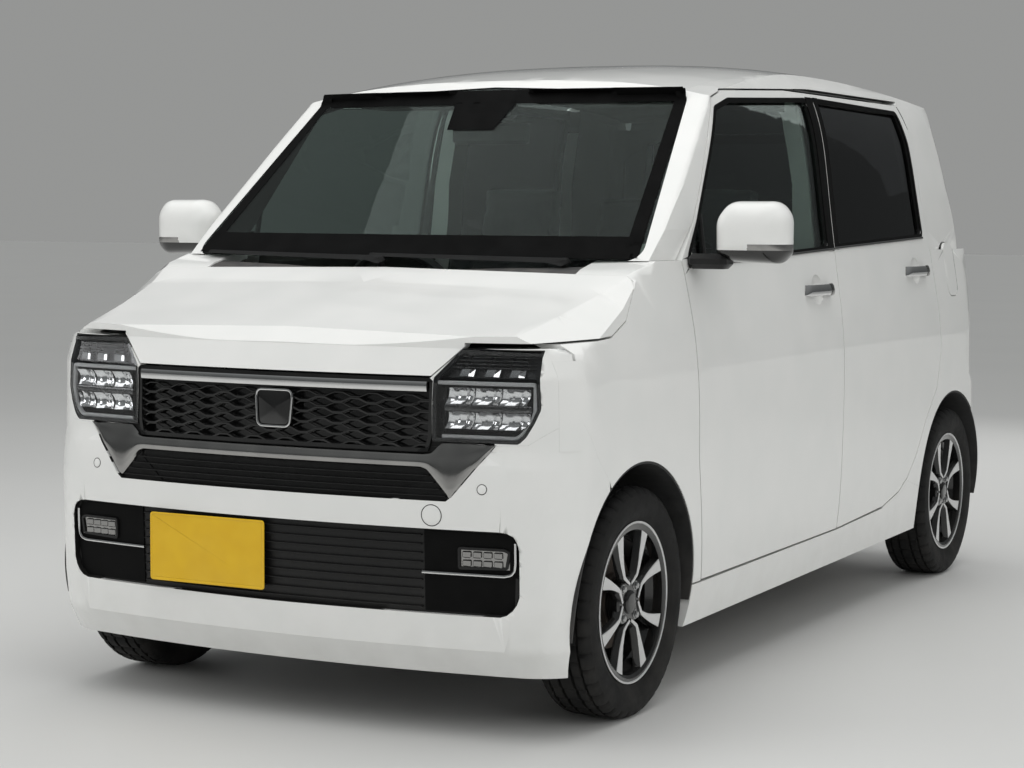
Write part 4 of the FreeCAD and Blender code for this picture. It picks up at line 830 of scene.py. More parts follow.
class Paints:
    """Every finish of the car, made once."""

    pearl = Finish("pearl_white_paint", (0.76, 0.765, 0.745, 1), (0.785, 0.785, 0.765, 1), 0.34, 0.40,
                   coat=1.0, coat_rough=0.02, scale=9.0, fine=1500.0, bump=0.018, dust_top=0.42,
                   dust=0.16).make()
    underbody = Finish("sealed_underbody", grey(0.05), grey(0.075, 0.05), 0.7, 0.9, scale=25.0, fine=300.0,
                       bump=0.5, dust=0.5).make()
    chassis = Finish("black_chassis_paint", grey(0.022), grey(0.035), 0.45, 0.62, scale=30.0, fine=500.0,
                     bump=0.2, dust_top=0.6, dust=0.35).make()
    piano = Finish("piano_black", grey(0.006), grey(0.009), 0.12, 0.2, coat=0.6, coat_rough=0.02,
                   scale=12.0, fine=1200.0, bump=0.01, dust_top=0.4, dust=0.05).make()
    satin = Finish("satin_black_plastic", grey(0.010), grey(0.015), 0.34, 0.46, relief=Surface.GRAIN,
                   scale=900.0, bump=0.10, dust_top=0.45, dust=0.04, specular=0.35).make()
    grained = Finish("grained_black_plastic", grey(0.022), grey(0.034), 0.55, 0.7, relief=Surface.GRAIN,
                     scale=650.0, bump=0.35, dust=0.18).make()
    chrome = Finish("bright_chrome", grey(0.72), grey(0.76), 0.06, 0.12, 1.0, scale=15.0, fine=800.0,
                    bump=0.01, dust_top=0.4, dust=0.06).make()
    smoked = Finish("dark_chrome", (0.34, 0.335, 0.33, 1), (0.40, 0.395, 0.385, 1), 0.12, 0.2, 1.0,
                    scale=15.0, fine=800.0, bump=0.01).make()
    smoked_dark = Finish("lamp_dark_silver", grey(0.10), grey(0.14), 0.2, 0.3, 0.9, scale=20.0, fine=800.0,
                         bump=0.01).make()
    machined = Finish("machined_alloy", grey(0.78), grey(0.84), 0.3, 0.4, 0.8, scale=40.0, fine=2500.0,
                      bump=0.04, dust=0.06).make()
    mirror = Finish("reflector_silver", grey(0.82), grey(0.86), 0.03, 0.08, 1.0, scale=20.0, fine=600.0,
                    bump=0.01).make()
    alloy = Finish("cast_alloy", grey(0.42), grey(0.5), 0.3, 0.42, 1.0, scale=40.0, fine=1500.0, bump=0.05,
                   dust=0.2).make()
    iron = Finish("cast_iron", (0.10, 0.09, 0.085, 1), (0.17, 0.14, 0.12, 1), 0.55, 0.75, 0.85, scale=60.0,
                  fine=700.0, bump=0.5, dust_top=0.6, dust=0.25).make()
    steel = Finish("bright_steel", grey(0.48), grey(0.55), 0.22, 0.34, 1.0, scale=30.0, fine=1400.0,
                   bump=0.05).make()
    pipe = Finish("heat_stained_steel", (0.33, 0.28, 0.23, 1), (0.42, 0.38, 0.34, 1), 0.35, 0.55, 1.0,
                  scale=18.0, fine=400.0, bump=0.2, dust=0.3).make()
    rubber = Finish("tyre_rubber", grey(0.008), grey(0.013), 0.6, 0.78, relief=Surface.GRAIN, scale=1200.0,
                    bump=0.25, dust_top=0.6, dust=0.05, specular=0.25).make()
    seal = Finish("window_rubber", grey(0.012), grey(0.018), 0.5, 0.62, relief=Surface.GRAIN, scale=1400.0,
                  bump=0.1).make()
    cloth = Finish("seat_cloth", (0.030, 0.031, 0.034, 1), (0.045, 0.046, 0.050, 1), 0.85, 0.95,
                   relief=Surface.WEAVE, scale=260.0, bump=0.6, sheen=0.25).make()
    dash = Finish("soft_dash_plastic", (0.035, 0.034, 0.034, 1), (0.048, 0.047, 0.046, 1), 0.6, 0.72,
                  relief=Surface.GRAIN, scale=800.0, bump=0.3).make()
    liner = Finish("roof_liner", (0.10, 0.098, 0.094, 1), (0.12, 0.117, 0.112, 1), 0.85, 0.95,
                   relief=Surface.GRAIN, scale=500.0, bump=0.3).make()
    trim = Finish("cabin_trim", (0.06, 0.058, 0.055, 1), (0.075, 0.073, 0.07, 1), 0.6, 0.7,
                  relief=Surface.GRAIN, scale=800.0, bump=0.25).make()
    plate = Finish("yellow_plate", (0.70, 0.42, 0.008, 1), (0.74, 0.46, 0.012, 1), 0.35, 0.45, scale=20.0,
                   fine=500.0, bump=0.03, dust=0.1).make()
    led = Finish("lamp_white", grey(0.75), grey(0.82), 0.3, 0.4, scale=300.0, fine=2000.0, bump=0.2).make()
    red = Finish("reflex_red", (0.45, 0.01, 0.012, 1), (0.55, 0.02, 0.02, 1), 0.15, 0.22, coat=1.0,
                 relief=Surface.GRAIN, scale=900.0, bump=0.5).make()
    amber = Finish("reflex_amber", (0.75, 0.26, 0.02, 1), (0.82, 0.32, 0.03, 1), 0.2, 0.3, coat=1.0,
                   relief=Surface.GRAIN, scale=900.0, bump=0.5).make()
    frit = Finish("printed_border", grey(0.004), grey(0.006), 0.5, 0.6, scale=20.0, fine=600.0, bump=0.01,
                  specular=0.08).make()
    glass = Glazing("windscreen_glass", (0.62, 0.72, 0.68, 1), 0.0, 1.30).make()
    privacy = Glazing("privacy_glass", (0.035, 0.038, 0.04, 1), 0.0, 1.30).make()
    lens = Glazing("clear_lens", (0.96, 0.97, 0.98, 1), 0.01, 1.40).make()
    red_lens = Glazing("red_lens", (0.62, 0.02, 0.02, 1), 0.04, 1.40).make()


@dataclass
class Studio:
    """A pale floor and backdrop, soft lamps, and the camera at the photograph's place."""

    place: tuple = (2960.0, -6114.5, 1212.0)
    yaw: float = 27.71
    pitch: float = 4.36
    roll: float = 0.32
    lens: float = 79.77
    floor_half: float = 60000.0
    backdrop: tuple = (0.30, 0.303, 0.298, 1.0)
    floor_colour: tuple = (0.60, 0.60, 0.585, 1.0)
    banks: tuple = (
        ("overhead", (0, -600, 4600), (0, 0, 0), (5.0, 7.0), 150.0),
        ("left_bank", (-5200, -4200, 3000), (0, -400, 800), (4.6, 2.6), 85.0),
        ("right_bank", (5600, -2600, 3000), (0, 0, 700), (4.6, 2.6), 60.0),
        ("rear_bank", (0, 6200, 3000), (0, 600, 900), (5.0, 2.5), 70.0),
    )

    def camera(self) -> None:
        """The camera, turned by yaw, then pitch, then roll about its own line of sight."""
        yaw, pitch, roll = (math.radians(a) for a in (self.yaw, self.pitch, self.roll))
        sight = Vector((-math.sin(yaw) * math.cos(pitch), math.cos(yaw) * math.cos(pitch), -math.sin(pitch)))
        right = sight.cross(Vector((0, 0, 1))).normalized()
        up = right.cross(sight)
        turned_right = right * math.cos(roll) + up * math.sin(roll)
        turned_up = up * math.cos(roll) - right * math.sin(roll)
        data = bpy.data.cameras.new("camera")
        data.lens = self.lens
        data.sensor_width = 36.0
        data.clip_end = 200.0
        camera = linked("camera", data)
        columns = Matrix((turned_right, turned_up, -sight)).transposed()
        camera.matrix_world = Matrix.Translation(Vector(self.place) * MM) @ columns.to_4x4()
        bpy.context.scene.camera = camera

    def floor(self) -> None:
        """The floor: a plain pale sheet with a faint unevenness of tone."""
        half = self.floor_half
        points = np.array([(-half, -half, 0), (half, -half, 0), (half, half, 0), (-half, half, 0)], float)
        material, s, place = new_material("studio_floor")
        noise = s.add("ShaderNodeTexNoise", {"Vector": place, "Scale": 0.7, "Detail": 4.0})
        second = tuple(0.94 * c for c in self.floor_colour[:3]) + (1.0,)
        colour = s.mix(noise.outputs[0], self.floor_colour, second)
        shader = s.add("ShaderNodeBsdfPrincipled", {"Base Color": colour, "Roughness": 0.45})
        s.add("ShaderNodeOutputMaterial", {"Surface": shader.outputs[0]})
        make_piece("studio_floor", points, [[0, 1, 2, 3]], material)

    def lamps(self) -> None:
        """Four broad lamps: overhead, to the camera's left and right, and behind the car."""
        for name, place, aim, size, power in self.banks:
            data = bpy.data.lights.new(name, "AREA")
            data.shape = "RECTANGLE"
            data.size, data.size_y = size
            data.energy = power
            lamp = linked(name, data)
            lamp.location = Vector(place) * MM
            lamp.visible_glossy = lamp.visible_camera = False
            lamp.rotation_euler = (Vector(aim) - Vector(place)).to_track_quat("-Z", "Y").to_euler()

    def world(self) -> None:
        """A soft grey surround, shown paler to the camera and in gloss and glass."""
        world = bpy.data.worlds.new("studio")
        bpy.context.scene.world = world
        world.use_nodes = True
        s = Shader(world.node_tree)
        way = s.add("ShaderNodeTexCoord").outputs["Generated"]
        height = s.add("ShaderNodeSeparateXYZ", {0: way}).outputs[2]
        sky = s.mix(s.spread(height, -0.1, 0.7), (0.74, 0.75, 0.75, 1), (0.90, 0.91, 0.91, 1))
        gloss = s.mix(s.spread(height, 0.0, 0.9), (0.10, 0.105, 0.105, 1), (0.30, 0.31, 0.31, 1))
        rays = s.add("ShaderNodeLightPath").outputs
        colour = s.mix(rays["Is Glossy Ray"], sky, gloss)
        light = s.add("ShaderNodeBackground", {"Color": colour, "Strength": 0.78})
        shown = s.add("ShaderNodeBackground", {"Color": self.backdrop, "Strength": 1.0})
        camera = rays["Is Camera Ray"]
        mixed = s.add("ShaderNodeMixShader", {0: camera, 1: light.outputs[0], 2: shown.outputs[0]})
        s.add("ShaderNodeOutputWorld", {"Surface": mixed.outputs[0]})

    def build(self) -> None:
        """Builds the whole studio."""
        self.camera()
        self.floor()
        self.lamps()
        self.world()
        bpy.context.scene.view_settings.view_transform = "Standard"


class Face(ABC):
    """A surface of the body that flat drawings are laid on."""

    outward: tuple
    inward: float

    @abstractmethod
    def place(self, flat: np.ndarray, move: float) -> np.ndarray:
        """Points of a flat view, set on the surface and moved square to the view."""

    def plate(self, grid: np.ndarray, move: float, wall: float, wrap: bool = False) -> tuple:
        """A thin wall from a flat grid of the view, its face moved off the surface."""
        rows, cols = grid.shape[:2]
        back = self.place(grid, move + self.inward * wall)
        return sheet(self.place(grid, move), back, rows, cols, wrap)

    def bar(self, line: np.ndarray, move: float, profile: np.ndarray, closed: bool = False) -> tuple:
        """A bar along a flat line of the view, its foot moved off the surface."""
        path = self.place(line, move)
        return carried(path, np.tile(self.outward, (len(path), 1)), profile, closed)


@dataclass
class NoseFace(Face):
    """The depth of the nose's outer surface at any place of the front view.

    The openings, the lamp pockets and the gaps are filled from their surroundings.
    """

    outward: tuple = (0.0, -1.0, 0.0)
    inward: float = 1.0
    spacing: float = 10.0
    half: float = 680.0
    levels: tuple = (160.0, 880.0)
    pocket_span: tuple = (470.0, 635.0)
    pocket_levels: tuple = (706.0, 818.0)
    steepest: float = -0.35
    widest: float = 75.0

    def __post_init__(self) -> None:
        """Reads the surface on a grid of rays.

        A ray counts where the skin faces forwards and lies near the middle depth of its column.
        """
        skin = Skin("front_bumper", "headlights", "bonnet", "front_fenders")
        self.x = np.arange(-self.half, self.half + 1, self.spacing)
        self.z = np.arange(self.levels[0], self.levels[1] + 1, self.spacing)
        pocket = (self.z > self.pocket_levels[0]) & (self.z < self.pocket_levels[1])
        rows = []
        for x in self.x:
            hit, normal, met = skin.cast(np.column_stack([np.full(len(self.z), x), self.z]), Along.FRONT)
            middle = np.median(hit[met, 1])
            good = met & (normal[:, 1] < self.steepest) & (np.abs(hit[:, 1] - middle) < self.widest)
            if self.pocket_span[0] < abs(x) < self.pocket_span[1]:
                good &= ~pocket
            rows.append(np.interp(self.z, self.z[good], hit[good, 1]))
        self.table = np.array(rows)

    def y(self, x: np.ndarray, z: np.ndarray) -> np.ndarray:
        """The surface's depth at some places, smoothly between the rays.

        Args:
            x: their places across the car.
            z: their heights.

        Returns:
            The depth at each place.
        """
        x, z = np.asarray(x, float), np.asarray(z, float)
        fx = np.clip((x - self.x[0]) / self.spacing, 0, len(self.x) - 1.001)
        fz = np.clip((z - self.z[0]) / self.spacing, 0, len(self.z) - 1.001)
        i, j = fx.astype(int), fz.astype(int)
        u, v = fx - i, fz - j
        low = self.table[i, j] * (1 - u) + self.table[i + 1, j] * u
        high = self.table[i, j + 1] * (1 - u) + self.table[i + 1, j + 1] * u
        return low * (1 - v) + high * v

    def place(self, flat: np.ndarray, move: float) -> np.ndarray:
        """Points of the front view (x, z), set behind the surface."""
        flat = np.asarray(flat, float).reshape(-1, 2)
        return np.column_stack([flat[:, 0], self.y(flat[:, 0], flat[:, 1]) + move, flat[:, 1]])


@dataclass
class SideFace(Face):
    """How far out the body's left side stands at each height; it is the same all along the doors."""

    outward: tuple = (1.0, 0.0, 0.2)
    inward: float = -1.0
    spacing: float = 10.0
    levels: tuple = (290.0, 1540.0)
    belt: float = 1075.0
    skin_place: float = -100.0
    frame_place: float = 215.0

    def __post_init__(self) -> None:
        """Reads the front door: its skin up to the belt, and the frame behind its pane above that."""
        skin = Skin("front_door_left")
        self.z = np.arange(self.levels[0], self.levels[1] + 1, self.spacing)
        y = np.where(self.z < self.belt, self.skin_place, self.frame_place)
        hit, _, met = skin.cast(np.column_stack([y, self.z]), Along.LEFT)
        self.out = np.interp(self.z, self.z[met], hit[met, 0])

    def place(self, flat: np.ndarray, move: float) -> np.ndarray:
        """Points of the left view (y, z), lifted off the surface."""
        flat = np.asarray(flat, float).reshape(-1, 2)
        return np.column_stack([np.interp(flat[:, 1], self.z, self.out) + move, flat[:, 0], flat[:, 1]])


NODE_FINISH = {
    "pearl": ("roof_panel", "front_fenders", "front_bumper", "rear_bumper", "sill_covers", "bonnet",
              "fuel_lid", "side_frame_left", "side_frame_right", "front_door_left", "front_door_right",
              "rear_door_left", "rear_door_right", "tailgate", "mirror_left", "mirror_right"),
    "underbody": ("floor_pan", "bulkhead", "fuel_tank"),
    "chassis": ("rear_axle", "front_suspension"),
    "piano": ("upper_grille", "rim_front_left", "rim_front_right", "rim_rear_left", "rim_rear_right"),
    "satin": ("lower_grille", "wipers"),
    "grained": ("arch_liners",),
    "alloy": ("engine_block",),
    "iron": ("knuckle_left", "knuckle_right", "brake_disc_left", "brake_disc_right"),
    "pipe": ("exhaust",),
    "rubber": ("tyre_front_left", "tyre_front_right", "tyre_rear_left", "tyre_rear_right"),
    "cloth": ("front_seats", "rear_seat"),
    "dash": ("dashboard", "steering_wheel"),
    "glass": ("windscreen", "front_door_left_glass", "front_door_right_glass"),
    "privacy": ("rear_door_left_glass", "rear_door_right_glass", "tailgate_glass"),
    "lens": ("headlights",),
    "red_lens": ("tail_lamps",),
}


def dress_nodes() -> None:
    """Gives every CAD node its finish."""
    for finish, names in NODE_FINISH.items():
        for name in names:
            node = NODES[name]
            node.data.materials.clear()
            node.data.materials.append(getattr(Paints, finish))


def ride(piece: Object, body: str) -> Object:
    """Puts a piece on its body and logs it."""
    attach(piece, body)
    LOG.info("%s rides on %s", piece.name, body)
    return piece


def ride_pair(piece: Object, body: str) -> None:
    """A left-hand piece on its body, and its mirror image on the right-hand one."""
    right = mirrored(piece, piece.name.replace("left", "right"))
    ride(piece, body)
    ride(right, body.replace("left", "right"))


INTAKE = ((0, 491), (596, 491), (618, 480), (628, 458), (628, 345), (619, 318), (592, 296), (0, 294))
MOUTH = ((0, 834), (414, 834), (412, 783), (414, 689), (571, 689), (470, 566), (456, 555), (0, 555))
LAMP_INNER = ((414, 689), (412.5, 783), (415, 833), (472, 899))
LAMP_OUTER = ((619, 689), (635, 705), (651, 735), (664, 768), (657, 893))


WINDOWS = {
    "front_door": ((-860.5, 1080), (-762.5, 1182), (-534.5, 1482), (-422.5, 1508), (195.5, 1536),
                   (183.5, 1112)),
    "rear_door": ((269.5, 1118), (287.5, 1538), (1019.5, 1530), (1049.5, 1440), (1083.5, 1142)),
}
HANDLES = {"front_door": (45.0, 992.0), "rear_door": (970.0, 1027.0)}
SKIN_SLOTS = {
    "lower_grille": "black_plastic", "arch_liners": "liner", "wipers": "black_plastic",
    "windscreen": "glass_clear", "front_door_left_glass": "glass_clear",
    "front_door_right_glass": "glass_clear", "rear_door_left_glass": "glass_dark",
    "rear_door_right_glass": "glass_dark", "tailgate_glass": "glass_dark", "dashboard": "dash_plastic",
    "exhaust": "exhaust", "floor_pan": "structure", "bulkhead": "structure",
}


@dataclass
class Panels:
    """Smooth-shaded copies of CAD pieces; faces that look into the cabin take a trim of their own."""

    nose: NoseFace
    side: SideFace
    painted: tuple = tuple(name for name in NODE_FINISH["pearl"] if "mirror" not in name)
    unlined: tuple = ("fender", "bumper", "bonnet")
    smooth: float = 24.0
    bonnet_smooth: float = 14.0
    sunk: tuple = (-60.0, -30.0, 13.0)
    lamp_floor: float = -1543.0
    dark_depth: tuple = (1.0, 60.0)
    nose_half: float = 600.0
    nose_foot: float = 240.0
    cup_half: tuple = (46.0, 44.0)
    cup_stages: tuple = ((0.0, 25.0), (0.0, 1.0), (0.05, -3.0), (0.18, -8.0), (0.4, -12.0), (0.7, -14.0))
    pocket_middle: tuple = (1348.0, 1025.0)
    pocket_half: tuple = (64.0, 99.0)
    shoulder_levels: tuple = (672.0, 876.0)
    shoulder_known: tuple = (-1592.0, -1582.0, -1572.0, -1518.0, -1508.0, -1498.0)
    shoulder_span: tuple = (-1574.0, -1516.0)
    cabin_half: float = 500.0
    cabin_front: float = -1000.0

    def sink(self, piece: Object, half: tuple) -> None:
        """Sinks a symmetric outline of the front view into a piece, and blackens what it opens."""
        outline = resampled(both_halves(half), 160, True)
        loops = [self.nose.place(outline, depth) for depth in self.sunk]
        carved(piece, make_piece("cutter", *stacked(loops), Paints.satin))
        self.blacken(piece, outline)

    def blacken(self, piece: Object, outline: np.ndarray) -> None:
        """Gives what lies inside an outline and behind the nose's surface the dark finish."""
        centres = face_centres(piece)
        depth = centres[:, 1] - self.nose.y(centres[:, 0], centres[:, 2])
        shallow, deep = self.dark_depth
        dark = inside(centres[:, (0, 2)], outline) & (depth > shallow) & (depth < deep)
        paint_faces(piece, dark, Paints.satin)

    @staticmethod
    def corners(mesh: Mesh) -> tuple:
        """The shading normal and the place in millimetres of every face corner."""
        corner = np.empty(len(mesh.loops), int)
        mesh.loops.foreach_get("vertex_index", corner)
        return vectors(mesh.corner_normals, "vector"), (vectors(mesh.vertices, "co") / MM)[corner]

    def calm_nose(self, piece: Object) -> None:
        """Takes the shading of the nose's outer faces from the smooth table of its surface.

        For the surface y(x, z) the outward normal is (dy/dx, -1, dy/dz), made one long.
        """
        normals, place = self.corners(piece.data)
        x, y, z = place.T
        step = 14.0
        slope_x = (self.nose.y(x + step, z) - self.nose.y(x - step, z)) / (2 * step)
        slope_z = (self.nose.y(x, z + step) - self.nose.y(x, z - step)) / (2 * step)
        smooth = np.column_stack([slope_x, -np.ones(len(x)), slope_z])
        smooth /= np.linalg.norm(smooth, axis=1, keepdims=True)
        outer = (np.abs(y - self.nose.y(x, z)) < 1.5) & (normals[:, 1] < -0.8)
        chosen = outer & (np.abs(x) < self.nose_half) & (z > self.nose_foot)
        normals[chosen] = smooth[chosen]
        piece.data.normals_split_custom_set(normals.tolist())

    def quarter_profile(self, name: str) -> tuple:
        """The skin of a rear quarter just in front of its fuel pocket.

        Args:
            name: the side frame's node.

        Returns:
            Heights, the skin's x at each of them, and 1 for the left side or -1 for the right.
        """
        sign = 1.0 if name.endswith("left") else -1.0
        heights = np.linspace(870.0, 1190.0, 65)
        front = self.pocket_middle[0] - self.pocket_half[0]
        flat = np.column_stack([np.full(len(heights), front), heights])
        hit, _ = Skin(name).hit(flat, Along.LEFT if sign > 0 else Along.RIGHT)
        return heights, hit[:, 0], sign

    def calm_quarter(self, piece: Object, name: str) -> None:
        """Takes the shading round the fuel pocket from the profile of the quarter's skin.

        Args:
            piece: the copy of the side frame.
            name: the side frame's node.
        """
        heights, across, sign = self.quarter_profile(name)
        normals, place = self.corners(piece.data)
        x, y, z = place.T
        slope = np.gradient(across, heights)
        slope = np.convolve(np.pad(slope, 2, mode="edge"), np.ones(5) / 5, mode="valid")
        lean = np.interp(z, heights, slope)
        smooth = np.column_stack([np.ones(len(z)), np.zeros(len(z)), -lean]) * sign
        smooth /= np.linalg.norm(smooth, axis=1, keepdims=True)
        near = (np.abs(y - self.pocket_middle[0]) < 110) & (np.abs(z - self.pocket_middle[1]) < 140)
        outer = np.abs(x - np.interp(z, heights, across)) < 2.0
        chosen = near & outer & (normals[:, 0] * sign > 0.7)
        normals[chosen] = smooth[chosen]
        piece.data.normals_split_custom_set(normals.tolist())

    def pocket_cover(self) -> None:
        """A painted sheet that closes the unused fuel pocket of the right rear quarter."""
        heights, across, _ = self.quarter_profile("side_frame_right")
        (y, z), (half_y, half_z) = self.pocket_middle, self.pocket_half
        levels = np.linspace(z - half_z, z + half_z, 45)
        lengths = np.linspace(y - half_y, y + half_y, 17)
        row_y, row_z = np.meshgrid(lengths, levels)
        row_x = np.interp(row_z, heights, across)
        base = np.column_stack([row_x.ravel(), row_y.ravel(), row_z.ravel()])
        shell = sheet(base - (0.4, 0, 0), base + (0.8, 0, 0), len(levels), len(lengths))
        ride(evened(make_piece("quarter_cover_right", *shell, Paints.pearl)), "body")

    def lamp_surround(self) -> None:
        """The CAD lamps with the visible lamps' places sunk into them; what is left is painted."""
        piece = self.copy("headlights", [Paints.pearl])
        for side in (1, -1):
            outline = np.array(LAMP_INNER + LAMP_OUTER[::-1], float) * (side, 1)
            outline = resampled(outline, 120, True)
            loops = [self.nose.place(outline, depth) for depth in self.sunk[:2]]
            loops.append(loops[0] * (1, 0, 1) + (0, self.lamp_floor, 0))
            carved(piece, make_piece("lamp_cutter", *stacked(loops), Paints.satin))
            self.blacken(piece, inset(outline, -4.0))
        self.sink(piece, MOUTH)
        shade(piece, self.smooth)
        ride(evened(piece), "body")

    def lamp_shoulders(self) -> None:
        """A painted sheet across each lamp's outer seam, from the surround to the fender.

        At each height a cubic in y is laid through the skin before and behind the seam, and the rows
        are then averaged with their neighbours.
        """
        skin = Skin("front_fenders", "front_bumper", "headlights")
        levels = np.linspace(*self.shoulder_levels, 35)
        known = np.array(self.shoulder_known)
        middle = known.mean()
        wanted = np.linspace(*self.shoulder_span, 13)
        rows = []
        for level in levels:
            flat = np.column_stack([known, np.full(len(known), level)])
            across = skin.hit(flat, Along.LEFT)[0][:, 0]
            rows.append(np.polyval(np.polyfit(known - middle, across, 3), wanted - middle))
        rows = np.array(rows)
        rows[1:-1] = (rows[:-2] + rows[1:-1] + rows[2:]) / 3
        row_y, row_z = np.meshgrid(wanted, levels)
        base = np.column_stack([rows.ravel(), row_y.ravel(), row_z.ravel()])
        shell = sheet(base + (0.5, -0.25, 0), base + (-0.8, 0.4, 0), len(levels), len(wanted))
        piece = make_piece("lamp_shoulder_left", *shell, Paints.pearl)
        ride_pair(piece, "body")

    def door(self, piece: Object, name: str) -> None:
        """Hollows the cup behind a door's pull and blackens the reveals of its pane.

        Args:
            piece: the copy of the door.
            name: the door's node.
        """
        sign = 1.0 if name.endswith("left") else -1.0
        kind = name.rsplit("_", 1)[0]
        circle = oval(HANDLES[kind], self.cup_half, 48)
        loops = [self.side.place(shrunk(circle, by), lift) * (sign, 1, 1) for by, lift in self.cup_stages]
        carved(piece, make_piece("cup_cutter", *stacked(loops), Paints.pearl))
        grown = inset(resampled(np.array(WINDOWS[kind], float), 200, True), -4.0)
        centres = face_centres(piece)
        paint_faces(piece, inside(centres[:, 1:], grown), Paints.satin)

    def copy(self, name: str, materials: list) -> Object:
        """A merged copy of a CAD node that stands for it."""
        piece = node_copy(name, name + "_skin", materials, self.smooth)
        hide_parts(name)
        return piece

    def trim(self, piece: Object) -> None:
        """Gives the faces that look into the car the second finish."""
        for polygon in piece.data.polygons:
            x, y, z = polygon.center / MM
            inward = -polygon.normal.x * math.copysign(1, x) if abs(x) >= self.cabin_half else 0.0
            lining = -polygon.normal.z if z > 1480 else 0.0
            behind = -polygon.normal.y if y > 1400 else 0.0
            if max(inward, lining, behind) > 0.35 and y > self.cabin_front:
                polygon.material_index = 1

    def panel(self, name: str) -> None:
        """Copies one painted panel and dresses it."""
        lining = Paints.liner if name == "roof_panel" else Paints.trim
        piece = self.copy(name, [Paints.pearl, lining])
        if not any(part in name for part in self.unlined):
            self.trim(piece)
        if name == "front_bumper":
            self.sink(piece, MOUTH)
            self.sink(piece, INTAKE)
        if "door" in name:
            self.door(piece, name)
        shade(piece, self.bonnet_smooth if name == "bonnet" else self.smooth)
        evened(piece)
        if name == "front_bumper":
            self.calm_nose(piece)
        if name.startswith("side_frame"):
            self.calm_quarter(piece, name)
        ride(piece, NODES[name]["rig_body"])

    def build(self) -> None:
        """Copies every panel, then the plainer nodes, and makes the sheets that close their seams."""
        for name in self.painted:
            self.panel(name)
        for name, slot in SKIN_SLOTS.items():
            piece = self.copy(name, [NODES[name].data.materials[0]])
            ride(piece, NODES[name]["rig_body"])
        self.lamp_surround()
        self.lamp_shoulders()
        self.pocket_cover()


